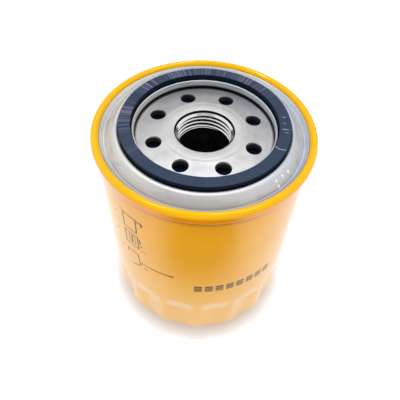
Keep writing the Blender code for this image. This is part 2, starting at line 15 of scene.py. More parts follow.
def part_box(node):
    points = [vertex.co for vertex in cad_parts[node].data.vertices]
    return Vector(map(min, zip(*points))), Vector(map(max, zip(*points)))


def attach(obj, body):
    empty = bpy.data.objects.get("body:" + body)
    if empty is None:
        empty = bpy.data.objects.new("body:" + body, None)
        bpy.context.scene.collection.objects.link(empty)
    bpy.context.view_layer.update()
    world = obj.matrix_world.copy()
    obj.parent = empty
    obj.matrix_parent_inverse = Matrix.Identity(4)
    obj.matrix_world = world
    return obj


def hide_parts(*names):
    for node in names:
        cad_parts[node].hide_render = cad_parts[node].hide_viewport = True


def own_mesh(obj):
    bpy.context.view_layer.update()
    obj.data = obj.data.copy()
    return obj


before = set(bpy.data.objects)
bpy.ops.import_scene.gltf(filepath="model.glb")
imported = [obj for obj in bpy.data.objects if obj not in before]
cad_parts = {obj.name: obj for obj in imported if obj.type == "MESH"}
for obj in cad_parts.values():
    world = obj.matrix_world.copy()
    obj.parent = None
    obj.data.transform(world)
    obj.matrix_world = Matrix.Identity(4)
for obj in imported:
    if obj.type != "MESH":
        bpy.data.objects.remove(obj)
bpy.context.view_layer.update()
MM = 0.001

# %% [markdown]
# ## Sizes
#
# Every height and radius comes from the frame, so a piece goes where its plain solid is. A small function turns a
# node's box into what a turner would read off a drawing: its outer radius, its foot and its head, in millimetres.
# What a box doesn't show, such as a wall's thickness, is a named value in the cell that needs it.


# %% Reading a node's sizes
def drawing(node):
    """The outer radius, the foot and the head of a round node, in millimetres."""
    low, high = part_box(node)
    return (high[0] - low[0]) / 2 / MM, low[2] / MM, high[2] / MM


SEAM_RADIUS, FOOT, SEAM_TOP = drawing("canister")
GASKET_RADIUS, GASKET_FOOT, GASKET_TOP = drawing("mounting_gasket")
PLATE_RADIUS, COLLAR_FOOT, CROWN = drawing("base_plate")
FLANGE_RADIUS, _, LIP_TOP = drawing("seaming_lid")
SHEET = 0.6
CAN_RADIUS = SEAM_RADIUS - 1.85
print(f"the can is {2 * SEAM_RADIUS:.1f} mm over its seam and {SEAM_TOP - FOOT:.1f} mm tall")

# %% [markdown]
# ## Turning and pressing
#
# Almost every piece of a filter is round. In Blender a round piece is a chain of points that is drawn by extruding
# one vertex again and again, and then spun about the axis. Three small helpers go with that: one rounds the corners
# of the chain, one gives a pressed sheet its second face, and one does the drawing and the spinning.


# %% Rounded corners
def rounded(corners, steps=5):
    """A chain through (radius, height, fillet) corners, where each fillet is an arc."""
    chain = []
    for index, (radius, height, fillet) in enumerate(corners):
        here = Vector((radius, height))
        if not fillet:
            chain.append(here)
            continue
        before = (Vector(corners[index - 1][:2]) - here).normalized()
        after = (Vector(corners[(index + 1) % len(corners)][:2]) - here).normalized()
        half = before.angle(after) / 2
        centre = here + (before + after).normalized() * fillet / math.sin(half)
        start = here + before * fillet / math.tan(half) - centre
        end = here + after * fillet / math.tan(half) - centre
        sweep = start.angle_signed(end)
        for step in range(steps + 1):
            arm = start.copy()
            arm.rotate(Matrix.Rotation(-sweep * step / steps, 2))
            chain.append(centre + arm)
    return chain


def arc(radius, height, size, start, end, steps):
    """Points on an arc in the (radius, height) plane, between two angles in degrees."""
    turns = [math.radians(start + (end - start) * step / steps) for step in range(steps + 1)]
    return [Vector((radius + size * math.cos(turn), height + size * math.sin(turn))) for turn in turns]


print("a fillet of 5 steps has", len(rounded([(0, 0, 0), (5, 0, 1), (5, 5, 0)])) - 2, "points")


# %% The two faces of a sheet
def pressed(chain, gauge):
    """The closed outline of a sheet: the chain, and back along the chain moved over by the gauge."""
    chain = [Vector(point) for point in chain]
    runs = [(b - a).normalized() for a, b in zip(chain, chain[1:])]
    back = []
    for index, point in enumerate(chain):
        before = runs[max(index - 1, 0)]
        after = runs[min(index, len(runs) - 1)]
        left, right = Vector((-before.y, before.x)), Vector((-after.y, after.x))
        mitre = (left + right) / (1 + left.dot(right))
        back.append(point + mitre * gauge)
    return chain + back[::-1] + chain[:1]


# %% Drawing and spinning
FINE, MEDIUM, COARSE = 256, 160, 96
WELD = 0.000002
SHARP = math.radians(38)


def deselect():
    bpy.ops.object.select_all(action="DESELECT")


def drawn(name, points):
    """A chain of edges through these points, made by extruding one vertex. It is left in edit mode."""
    deselect()
    bpy.ops.mesh.primitive_plane_add(size=MM)
    piece = bpy.context.object
    piece.name = piece.data.name = name
    bpy.ops.object.mode_set(mode="EDIT")
    bpy.ops.mesh.merge(type="CENTER")
    here = Vector(points[0]) * MM
    bpy.ops.transform.translate(value=here)
    for point in points[1:]:
        there = Vector(point) * MM
        bpy.ops.mesh.extrude_region_move(TRANSFORM_OT_translate={"value": there - here})
        here = there
    bpy.ops.mesh.select_all(action="SELECT")
    return piece


def leave_edit(piece, smooth=SHARP):
    """Welds the seam, points the faces outwards, and goes back to object mode with smooth shading."""
    bpy.ops.mesh.select_all(action="SELECT")
    bpy.ops.mesh.remove_doubles(threshold=WELD)
    bpy.ops.mesh.normals_make_consistent(inside=False)
    bpy.ops.mesh.select_all(action="DESELECT")
    bpy.ops.object.mode_set(mode="OBJECT")
    bpy.ops.object.shade_smooth_by_angle(angle=smooth)
    return piece


def turned(name, chain, steps=MEDIUM):
    """A chain of (radius, height) points spun about the filter's axis."""
    piece = drawn(name, [(radius, 0, height) for radius, height in chain])
    bpy.ops.mesh.spin(steps=steps, angle=math.tau, center=(0, 0, 0), axis=(0, 0, 1))
    return leave_edit(piece)


def ring(name, corners, steps=MEDIUM, fillet_steps=5):
    """A solid ring or bush: a closed chain of rounded corners, spun."""
    chain = rounded(corners, fillet_steps)
    return turned(name, chain + chain[:1], steps)


def apply_modifiers(piece):
    deselect()
    piece.select_set(True)
    bpy.context.view_layer.objects.active = piece
    for modifier in list(piece.modifiers):
        bpy.ops.object.modifier_apply(modifier=modifier.name)
    return piece


# %% [markdown]
# A press tool pushes a shape into metal that is already formed. The helper below does it the way a modeller would
# with weight paint: a weight from 0 to 1 for each vertex says how much of the stroke it gets, and a Displace
# modifier pushes it along its normal. The weights come from a rule, so the flutes and the thread are exact.


# %% Pressing a pattern into a piece
def press(piece, depth, weight_at):
    """Pushes each vertex in by depth millimetres times weight_at(angle, radius, height)."""
    group = piece.vertex_groups.new(name="press")
    pushed = 0
    for vertex in piece.data.vertices:
        x, y, z = vertex.co / MM
        weight = weight_at(math.atan2(y, x), math.hypot(x, y), z)
        if weight > 0:
            group.add([vertex.index], weight, "REPLACE")
            pushed += 1
    modifier = piece.modifiers.new("press", "DISPLACE")
    modifier.vertex_group = group.name
    modifier.mid_level = 0
    modifier.strength = -depth * MM
    apply_modifiers(piece)
    piece.vertex_groups.clear()
    print(piece.name, "was pressed at", pushed, "vertices")
    return piece


def smooth_step(value):
    value = min(max(value, 0), 1)
    return value * value * (3 - 2 * value)


# %% Placing a finished piece
def place(piece, body, node, material):
    """Hangs a piece on its body, in the place of its plain solid, with its finish."""
    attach(piece, body)
    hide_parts(node)
    piece.data.materials.clear()
    piece.data.materials.append(material)
    print(f"{piece.name}: {len(piece.data.polygons)} faces on {body}")


# %% [markdown]
# ## Shader sums
#
# A procedural finish is a long sum: a distance, a comparison, a mix. Wiring that up node by node hides the idea, so
# one small class wraps a socket and lets Python's operators add the Math nodes. Any other node comes from its one
# method `node`, which takes the node's type, its settings, and what goes into its sockets.


# %% The Flow class
class Flow:
    """A value in a node tree that can be used in Python sums."""

    def __init__(self, tree, socket):
        self.tree, self.socket = tree, socket

    def node(self, kind, settings, sockets, out=0):
        made = self.tree.nodes.new("ShaderNode" + kind)
        stops = settings.pop("stops", None)
        for name, value in settings.items():
            setattr(made, name, value)
        if stops:
            ramp = made.color_ramp.elements
            for _ in stops[2:]:
                ramp.new(0.5)
            for element, (position, colour) in zip(ramp, stops):
                element.position, element.color = position, colour
        for name, value in sockets.items():
            if isinstance(value, Flow):
                self.tree.links.new(value.socket, made.inputs[name])
            else:
                made.inputs[name].default_value = value
        return Flow(self.tree, made.outputs[out])

    def maths(self, operation, *others, clamp=False):
        values = dict(enumerate((self, *others)))
        return self.node("Math", {"operation": operation, "use_clamp": clamp}, values)

    def __add__(self, other):
        return self.maths("ADD", other)

    def __sub__(self, other):
        return self.maths("SUBTRACT", other)

    def __rsub__(self, other):
        return self.maths("MULTIPLY_ADD", -1, other)

    def __mul__(self, other):
        return self.maths("MULTIPLY", other)

    def __truediv__(self, other):
        return self.maths("DIVIDE", other)

    def __pow__(self, other):
        return self.maths("POWER", other)

    def __gt__(self, other):
        return self.maths("GREATER_THAN", other)

    def __lt__(self, other):
        return self.maths("LESS_THAN", other)

    def __abs__(self):
        return self.maths("ABSOLUTE")

    def most(self, other):
        return self.maths("MAXIMUM", other)

    def clamped(self):
        return self.maths("ADD", 0.0, clamp=True)

    def between(self, low, high):
        """0 below low, 1 above high, and a soft step between them."""
        settings = {"interpolation_type": "SMOOTHSTEP"}
        return self.node("MapRange", settings, {"Value": self, "From Min": low, "From Max": high})

    __radd__, __rmul__ = __add__, __mul__


# %% [markdown]
# Each finish starts the same way: a Principled BSDF with its constant values set on its own sockets, and the place
# on the piece in millimetres. Because every piece sits at the origin, the Object coordinates are the filter's own
# coordinates, so a finish can ask for a radius, an angle or a height.


# %% Starting and ending a finish
def srgb(red, green, blue):
    """A colour as it is seen on a screen, 0 to 255, as the linear values that a shader takes."""
    values = [value / 255 for value in (red, green, blue)]
    return (*[v / 12.92 if v <= 0.04045 else ((v + 0.055) / 1.055) ** 2.4 for v in values], 1.0)


class Finish:
    """A material, its shader, and the place on the piece in several forms."""

    def __init__(self, name, **constants):
        self.material = bpy.data.materials.new(name)
        self.material.use_nodes = True
        tree = self.material.node_tree
        self.shader = tree.nodes["Principled BSDF"]
        for socket, value in constants.items():
            self.shader.inputs[socket.replace("_", " ")].default_value = value
        metres = Flow(tree, tree.nodes.new("ShaderNodeTexCoord").outputs["Object"])
        self.place = metres.node("VectorMath", {"operation": "SCALE"}, {0: metres, "Scale": 1 / MM})
        self.x, self.y, self.z = [metres.node("SeparateXYZ", {}, {0: self.place}, i) for i in range(3)]
        self.radius = (self.x * self.x + self.y * self.y) ** 0.5
        self.tree = tree

    def around(self, ripple=1.0, across=1.0, along=1.0):
        """A vector that follows the filter round, with no seam: stretched by ripple, radius and height."""
        lengths = {0: self.x / self.radius * ripple, 1: self.y / self.radius * ripple}
        return self.radius.node("CombineXYZ", {}, {**lengths, 2: self.radius * across + self.z * along})

    def noise(self, vector, scale, detail=2.0, roughness=0.5):
        sockets = {"Vector": vector, "Scale": scale, "Detail": detail, "Roughness": roughness}
        return self.radius.node("TexNoise", {}, sockets)

    def mix(self, mask, first, second):
        """The first colour where the mask is 0 and the second where it is 1."""
        return self.radius.node("Mix", {"data_type": "RGBA"}, {0: mask, 6: first, 7: second}, out=2)

    def feed(self, socket, value):
        self.tree.links.new(value.socket, self.shader.inputs[socket])

    def bump(self, height, distance, strength=1.0):
        """Bump from a height of 0 to 1 that stands for this many millimetres."""
        sockets = {"Height": height, "Distance": distance * MM, "Strength": strength}
        self.feed("Normal", self.radius.node("Bump", {}, sockets))


print("yellow as a screen shows it:", [round(value, 3) for value in srgb(236, 166, 40)])

# %% [markdown]
# ## Finish: yellow stove enamel with black print
#
# The can is painted after it is seamed, with a smooth enamel. Such paint has a fine orange peel, dust specks, and
# faint rubs from handling. Its colour also holds painted light: painted shade and a dark painted shadow line under
# the seam, painted shade on the lower side of the roll, a painted highlight along the seam's lower edge and on the
# run-outs of the flutes, and a painted pale glow towards the foot. The print on it is a column of three fitting
# pictograms with a leader line, and a row of even bar marks. Each stroke is a distance in the unrolled label: u runs
# round the can and v up it. A stroke is where that distance is under PEN, half its width.

# %% Strokes on the unrolled label
PEN = 0.38


def box_stroke(u, v, centre_u, centre_v, width, height, pen=PEN):
    """The outline of a box on the label."""
    beside = abs(u - centre_u) - width / 2
    above = abs(v - centre_v) - height / 2
    return abs(beside.most(above)) < pen


def block(u, v, centre_u, centre_v, width, height):
    """A filled box on the label."""
    return (abs(u - centre_u) < width / 2) * (abs(v - centre_v) < height / 2)


def line_stroke(u, v, start, end, pen=PEN):
    """A straight stroke with round ends."""
    run_u, run_v = end[0] - start[0], end[1] - start[1]
    length = run_u * run_u + run_v * run_v
    share = ((u - start[0]) * (run_u / length) + (v - start[1]) * (run_v / length)).clamped()
    off_u = u - start[0] - share * run_u
    off_v = v - start[1] - share * run_v
    return (off_u * off_u + off_v * off_v) < pen * pen


def arc_stroke(u, v, centre_u, centre_v, size, pen=PEN):
    """The upper right half of a circle, for a turning arrow."""
    off_u, off_v = u - centre_u, v - centre_v
    on_circle = abs((off_u * off_u + off_v * off_v) ** 0.5 - size) < pen
    return on_circle * ((off_u + off_v) > 0)


def any_of(masks):
    """1 where any of the masks is."""
    whole = masks[0]
    for mask in masks[1:]:
        whole = whole.most(mask)
    return whole


# %% The enamel
FLUTES = 16
FLUTE_TOP, FLUTE_FULL = 35.5, 28.5
RIDGE_ANGLE = -89.0


def make_enamel():
    finish = Finish(
        "yellow_enamel",
        Metallic=0.0,
        IOR=1.5,
        Specular_IOR_Level=0.5,
        Specular_Tint=(1.0, 0.6, 0.06, 1.0),
        Coat_Roughness=0.06,
        Sheen_Weight=0.4,
        Sheen_Roughness=0.14,
        Sheen_Tint=(1.0, 0.96, 0.9, 1.0),
    )
    u = finish.x.maths("ARCTAN2", finish.y * -1) * CAN_RADIUS
    v = finish.z
    column = -31.7
    strokes = [
        box_stroke(u, v, column, 89.2, 7.4, 9.6),
        line_stroke(u, v, (column - 3.7, 94.0), (column - 5.2, 95.4)),
        arc_stroke(u, v, -26.4, 91.9, 1.5),
        line_stroke(u, v, (-25.4, 93.6), (-24.3, 92.9)),
        box_stroke(u, v, column, 76.9, 7.6, 9.4),
        box_stroke(u, v, column + 0.4, 77.3, 3.6, 5.6, 0.2),
        line_stroke(u, v, (column + 0.4, 79.6), (column + 0.4, 75.0), 0.5),
        line_stroke(u, v, (-27.0, 80.2), (-26.6, 77.4), 0.4),
        line_stroke(u, v, (-26.4, 75.8), (-26.2, 74.6), 0.4),
        line_stroke(u, v, (column - 3.8, 66.4), (column + 2.6, 66.4)),
        line_stroke(u, v, (column + 2.6, 66.4), (column + 3.4, 57.4)),
        line_stroke(u, v, (column + 3.4, 57.4), (column - 1.6, 54.2)),
        line_stroke(u, v, (column - 3.8, 66.4), (column - 3.8, 63.4)),
        line_stroke(u, v, (-26.3, 72.0), (-24.0, 71.2), 0.2),
        line_stroke(u, v, (-27.4, 60.4), (-11.6, 60.6), 0.34),
        line_stroke(u, v, (-22.0, 60.5), (-11.5, 60.6), 0.46),
        line_stroke(u, v, (-13.0, 60.5), (-11.3, 60.6), 0.62),
        block(u, v, -41.3, 88.6, 1.3, 0.9),
        block(u, v, -41.2, 76.0, 1.3, 0.9),
        block(u, v, -40.2, 63.6, 1.3, 0.9),
        block(u, v, -25.0, 56.8, 2.6, 0.6),
    ]
    print_mask = any_of(strokes).most(make_row_of_marks(u, v))
    front = finish.y < 0
    patchy = finish.noise(finish.place, 2.2, 3.0, 0.7).between(0.28, 0.42)
    print_mask = print_mask * front * patchy * (finish.z < SEAM_TOP - 8)

    broad = finish.noise(finish.place, 0.035, 3.0)
    drift = finish.mix(broad.between(0.35, 0.65), srgb(250, 175, 8), srgb(252, 183, 14))
    # Painted shade: the paint turns a deeper orange towards the seam, where the roll shades the wall.
    run = finish.z.between(SEAM_TOP - 26, SEAM_TOP - 5) * 0.55
    body = finish.mix(run, drift, srgb(244, 160, 2))
    # Painted shade: a darker orange band just under the seam, where the roll's overhang shades the wall.
    painted_shade_under_seam = finish.z.between(SEAM_TOP - 11, SEAM_TOP - 5.6)
    body = finish.mix(painted_shade_under_seam * painted_shade_under_seam * 0.9, body, srgb(140, 74, 0))
    # Painted light: the paint turns pale towards the foot, standing for the white floor's glow on the lower wall.
    painted_glow_towards_foot = finish.z.between(62, 4) * 0.55
    body = finish.mix(painted_glow_towards_foot, body, srgb(255, 204, 132))
    # Painted shadow: a thin dark line just under the seam, in the gap beneath the roll.
    line = abs(finish.z - (SEAM_TOP - 5.5)).between(0.5, 0.15)
    body = finish.mix(line * 0.7, body, srgb(84, 44, 0))
    front_angle = u / CAN_RADIUS - math.radians(RIDGE_ANGLE + 90)
    hollow = 0.5 - (front_angle * FLUTES).maths("COSINE") * 0.5
    # Painted highlight: pale patches where the flutes run out, standing for the light their upturned slopes catch.
    run_out = abs(finish.z - (FLUTE_TOP + FLUTE_FULL) / 2 + 0.5).between(6.0, 0.5)
    body = finish.mix(run_out * hollow * 0.55, body, srgb(255, 246, 230))
    rolled = finish.z.between(SEAM_TOP - 5.0, SEAM_TOP - 4.75)
    # Painted shade: the roll turns a deeper orange on its lower side.
    roll_painted_shade_and_highlight = finish.mix(finish.z.between(SEAM_TOP - 3.3, SEAM_TOP - 0.5), srgb(246, 146, 0), srgb(246, 184, 0))
    # Painted highlight: a thin pale line along the seam's lower edge.
    painted_highlight_on_seam_edge = abs(finish.z - (SEAM_TOP - 4.35)).between(0.28, 0.12)
    roll_painted_shade_and_highlight = finish.mix(painted_highlight_on_seam_edge * 0.7, roll_painted_shade_and_highlight, srgb(255, 228, 150))
    body = finish.mix(rolled, body, roll_painted_shade_and_highlight)
    speck = finish.noise(finish.place, 1.7, 1.0).between(0.745, 0.77)
    body = finish.mix(speck * 0.5, body, srgb(190, 120, 20))
    body = finish.mix(print_mask * 0.96, body, srgb(22, 20, 20))
    finish.feed("Base Color", body)

    rubbed = finish.noise(finish.around(6, 0.1, 0.5), 1.2, 4.0).between(0.5, 0.75)
    matt = 0.3 + rubbed * 0.06 - rolled * 0.2
    finish.feed("Roughness", matt.most(print_mask * 0.55))
    glance = finish.x.node("LayerWeight", {}, {"Blend": 0.35}, out=1)
    finish.feed("Coat Weight", ((0.2 + glance * 0.8) * (1 - rolled * 0.2)).clamped())
    peel = finish.noise(finish.place, 0.55, 2.0) + finish.noise(finish.place, 5.0, 1.0) * 0.12
    finish.bump(peel + print_mask * 0.15, 0.035)
    return finish.material


# %% [markdown]
# The row of marks is a pattern, not lettering: the same mark of three level bars, repeated at one even step, so that
# it spells nothing.

# %% The row of marks
MARK_LOW, MARK_HEIGHT = 50.2, 5.0
MARK_MIDDLE = MARK_LOW + MARK_HEIGHT / 2
FIRST_MARK, MARK_STEP, MARK_COUNT = 0.7, 5.1, 8
MARK_WIDTH, SLIT, BAR_PITCH = 3.8, 0.22, 0.95


def make_row_of_marks(u, v):
    marks = []
    for index in range(MARK_COUNT):
        whole = block(u, v, FIRST_MARK + index * MARK_STEP, MARK_MIDDLE, MARK_WIDTH, MARK_HEIGHT)
        slits = abs(abs(v - MARK_MIDDLE) - BAR_PITCH) < SLIT
        marks.append(whole * (1 - slits))
    return any_of(marks)


ENAMEL = make_enamel()
print("the enamel has", len(ENAMEL.node_tree.nodes), "nodes")

# %% [markdown]
# ## The can
#
# The can is one drawn sheet of steel. From its curled edge inside the seam it goes over the roll, tucks in under
# it, runs down the wall, round the shoulder and across the foot to a raised panel. That one chain is spun, then the
# sixteen wrench flutes are pressed in with a press tool, and at last Solidify gives the sheet its thickness on the
# inside.

# %% The can's outline
ROLL = 1.75
FLUTE_DEPTH = 1.7
SHOULDER = 11.0
CAN_STEPS = 20 * FLUTES


def can_chain():
    curl = [Vector((SEAM_RADIUS - 2 * ROLL, SEAM_TOP - 2.7))]
    roll = arc(SEAM_RADIUS - ROLL, SEAM_TOP - ROLL, ROLL, 180, -8, 26)
    tuck = rounded(
        [
            (*roll[-1], 0),
            (SEAM_RADIUS - 0.1, SEAM_TOP - 4.5, 0.4),
            (CAN_RADIUS + 0.05, SEAM_TOP - 4.95, 0.3),
            (CAN_RADIUS, SEAM_TOP - 7.0, 0),
        ]
    )[1:]
    wall = [Vector((CAN_RADIUS, height)) for height in (90, 70, 50, 38, FLUTE_TOP)]
    run_out = [
        Vector((CAN_RADIUS, FLUTE_TOP + (FLUTE_FULL - FLUTE_TOP) * step / 12)) for step in range(1, 13)
    ]
    straight = [Vector((CAN_RADIUS, height)) for height in (24, 20, 16, 13)]
    shoulder = arc(CAN_RADIUS - SHOULDER, SHOULDER, SHOULDER, 0, -90, 18)
    foot = rounded(
        [
            (CAN_RADIUS - SHOULDER, 0, 0),
            (29.5, 0, 1.2),
            (25.5, 2.0, 1.2),
            (9.0, 2.0, 1.0),
            (7.5, 1.5, 1.0),
            (0, 1.5, 0),
        ],
        4,
    )[1:]
    return curl + roll + tuck + wall + run_out + straight + shoulder + foot


def flute_weight(angle, radius, height):
    """1 in the middle of a flute, 0 on its ridges and where the flutes run out."""
    if height > FLUTE_TOP or radius < CAN_RADIUS - SHOULDER:
        return 0
    pitch = math.tau / FLUTES
    across = ((angle - math.radians(RIDGE_ANGLE)) / pitch) % 1.0 * 2 - 1
    hollow = 0.1 * (1 - across**2) + 0.9 * math.cos(across * math.pi / 2) ** 2
    run_out = smooth_step((FLUTE_TOP - height) / (FLUTE_TOP - FLUTE_FULL))
    fade = smooth_step((radius - CAN_RADIUS + SHOULDER) / (SHOULDER * 0.6)) * smooth_step(0.1 + height / 14)
    return hollow * run_out * fade


# %% Spinning, fluting and thickening the can
can = turned("painted_can", can_chain(), CAN_STEPS)
press(can, FLUTE_DEPTH, flute_weight)
wall = can.modifiers.new("sheet", "SOLIDIFY")
wall.thickness = SHEET * MM
wall.offset = -1
apply_modifiers(can)
place(can, "housing", "canister", ENAMEL)

# %% [markdown]
# ## Finish: zinc-plated sheet
#
# The lid is pressed from galvanised sheet. Spinning it against the roller leaves fine rings that run round it, and
# the passivation over the zinc has a slight play of blue, green and straw. Both follow the radius, so the noise
# that makes them is stretched right round and is fine across.


# %% The zinc
LIP_RADIUS = 31.0
DIP_RADIUS = 42.8
ZINC_SPOTS = ((40.8, -34.0), (40.4, -39.3), (40.4, -44.7), (42.0, -44.7))


def make_zinc():
    finish = Finish("zinc_plate", Metallic=0.7)
    rings = finish.noise(finish.around(1.2, 1.0, 1.0), 5.5, 3.0, 0.6)
    broad_rings = finish.noise(finish.around(0.6, 1.0, 1.0), 0.9, 2.0)
    cloud = finish.noise(finish.place, 0.16, 4.0, 0.6)
    tint = finish.mix(broad_rings.between(0.38, 0.62), srgb(192, 200, 210), srgb(222, 216, 208))
    tint = finish.mix(cloud.between(0.42, 0.66) * 0.6, tint, srgb(190, 206, 206))
    toward_front, toward_right = finish.y * -1 / finish.radius, finish.x / finish.radius
    # Painted reflection by side: the front is greyer and warmer, the right bluer and the left paler.
    tint = finish.mix(toward_front.between(0.4, 1) * 0.5, tint, srgb(208, 202, 192))
    tint = finish.mix(toward_right.between(0.2, 0.9) * 0.6, tint, srgb(204, 212, 228))
    tint = finish.mix(toward_right.between(-0.5, -1) * 0.5, tint, srgb(240, 236, 228))
    tint = finish.mix(rings.between(0.54, 0.68) * 0.25, tint, srgb(140, 144, 150))
    streaks = finish.noise(finish.around(0.3, 1.0, 1.0), 2.4, 2.0).between(0.52, 0.62)
    tint = finish.mix(streaks * 0.32, tint, srgb(150, 150, 154))
    blush = finish.noise(finish.around(1.6, 0.5, 0.2), 0.9, 3.0).between(0.52, 0.7)
    tint = finish.mix(blush * 0.4, tint, srgb(214, 200, 214))
    # Painted shade: the front of the dip by the seam is darker.
    painted_shade_by_dip = toward_front.between(0.2, 0.85) * finish.radius.between(DIP_RADIUS - 1.0, DIP_RADIUS)
    tint = finish.mix(painted_shade_by_dip * 0.6, tint, srgb(128, 128, 128))
    straw = finish.noise(finish.around(3.0, 0.7, 0.2), 0.6, 2.0).between(0.55, 0.75)
    tint = finish.mix(straw * 0.35, tint, srgb(226, 222, 204))
    spots = []
    for spot_radius, spot_angle in ZINC_SPOTS:
        turn = math.radians(spot_angle)
        off_x = finish.x - spot_radius * math.cos(turn)
        off_y = finish.y - spot_radius * math.sin(turn)
        spots.append((off_x * off_x + off_y * off_y) < 0.3)
    tint = finish.mix(any_of(spots), tint, srgb(246, 250, 246))
    # Painted shade: the foot of the lip's inner wall is nearly black, where the gap under the lip lies in shade.
    corner = (finish.radius < LIP_RADIUS) * finish.z.between(GASKET_FOOT + 0.6, GASKET_FOOT - 0.6)
    tint = finish.mix(corner * 0.85, tint, srgb(30, 36, 44))
    finish.feed("Base Color", tint)
    finish.feed("Roughness", 0.36 + rings * 0.14 + cloud * 0.06)
    grain = finish.noise(finish.place, 3.2, 3.0)
    finish.bump(rings * 0.8 + grain * 0.3, 0.02)
    return finish.material


ZINC = make_zinc()

# %% [markdown]
# ## The lid
#
# The lid carries the gasket. Its inner edge stands up as a lip, the gasket sits in a channel, then the sheet rises
# to a rounded crest at the height of the seam and falls away to the rim that is rolled into the seam. It is drawn
# along its top face and given its gauge below, then spun. Four small beads of zinc sit on the slope.

# %% The lid's outline
LID_SHEET = 0.8
CHANNEL_FLOOR = GASKET_FOOT - 0.3
CREST_FLANK = GASKET_RADIUS + 0.3
RIM_TOP = SEAM_TOP - 3.0
CREST_TOP = SEAM_TOP + 0.9
CREST = 2.2


def lid_chain():
    return rounded(
        [
            (LIP_RADIUS, LIP_TOP, 0),
            (LIP_RADIUS, CHANNEL_FLOOR, 0.25),
            (CREST_FLANK, CHANNEL_FLOOR, 0.25),
            (CREST_FLANK, CREST_TOP, 0.9),
            (CREST_FLANK + CREST, CREST_TOP - 0.1, 2.2),
            (DIP_RADIUS, RIM_TOP - 0.4, 0.9),
            (DIP_RADIUS + 1.2, RIM_TOP, 0.9),
            (FLANGE_RADIUS - LID_SHEET, RIM_TOP, 0.3),
            (FLANGE_RADIUS - LID_SHEET, SEAM_TOP - 2.1, 0),
        ],
        6,
    )


def rounded_lip(outline):
    """The lip's free edge as a half circle over the gauge of the sheet."""
    half = LID_SHEET / 2
    bead = arc(LIP_RADIUS - half, LIP_TOP - half, half, 180, 0, 8)
    return bead + outline[1:-2] + [bead[0]]


lid = turned("plated_lid", rounded_lip(pressed(lid_chain(), -LID_SHEET)), FINE)

# %% Spots of zinc on the lid
slope = (CREST_TOP - RIM_TOP + 0.3) / (DIP_RADIUS - CREST_FLANK - CREST)
for spot_radius, spot_angle in ZINC_SPOTS:
    turn = math.radians(spot_angle)
    spot_height = CREST_TOP - 0.1 - (spot_radius - CREST_FLANK - CREST) * slope
    spot = Vector((spot_radius * math.cos(turn), spot_radius * math.sin(turn), spot_height)) * MM
    deselect()
    bpy.ops.mesh.primitive_uv_sphere_add(segments=16, ring_count=10, radius=0.38 * MM, location=spot)
    bpy.ops.object.transform_apply(location=True, rotation=True, scale=True)
    bpy.ops.object.shade_smooth()
    lid.select_set(True)
    bpy.context.view_layer.objects.active = lid
    bpy.ops.object.join()

# %% The bead of the lid that stands against the curl
bead = ring(
    "seam_bead",
    [
        (SEAM_RADIUS - 5.2, RIM_TOP - 0.5, 0.1),
        (SEAM_RADIUS - 4.75, RIM_TOP + 0.4, 0.3),
        (SEAM_RADIUS - 3.75, SEAM_TOP - 1.5, 0.2),
        (SEAM_RADIUS - 3.62, SEAM_TOP - 1.6, 0.1),
        (SEAM_RADIUS - 3.62, RIM_TOP - 0.3, 0.1),
    ],
    FINE,
    3,
)
lid.select_set(True)
bpy.context.view_layer.objects.active = lid
bpy.ops.object.join()
place(lid, "housing", "seaming_lid", ZINC)

# %% [markdown]
# ## The seam compound
#
# A thin ring of sealing compound is squeezed between the lid's flange and the can's curl. It hardly shows, but it
# is what keeps the seam tight, so it has its own piece: a soft bead with a round face.


# %% The compound
def make_compound():
    finish = Finish("seam_compound", Metallic=0.0)
    lumps = finish.noise(finish.around(30, 1, 1), 1.0, 3.0)
    finish.feed("Base Color", finish.mix(lumps, srgb(70, 64, 60), srgb(102, 94, 86)))
    finish.feed("Roughness", 0.5 + lumps * 0.3)
    finish.bump(lumps, 0.05)
    return finish.material


def box_ring(name, node, inner, fillet, steps=COARSE):
    """A ring with rounded corners that fills its node's box, inside which it has this radius."""
    outer, low, high = drawing(node)
    corners = [(inner, high, fillet), (outer, high, fillet), (outer, low, fillet), (inner, low, fillet)]
    return ring(name, corners, steps, 3)


compound = box_ring("seam_sealant", "seam_compound", SEAM_RADIUS - 2.6, 0.25)
place(compound, "housing", "seam_compound", make_compound())

# %% [markdown]
# ## Finish: gasket rubber
#
# The gasket is cut from an extruded tube, so its flat face shows the knife: fine lines that run from the inside to
# the outside. The rubber is slate grey where it has bloomed and nearly black on its cut sides. A few pale scuffs
# sit on its right. Each scuff is a short stroke on the flat face, worked out like the strokes of the label.


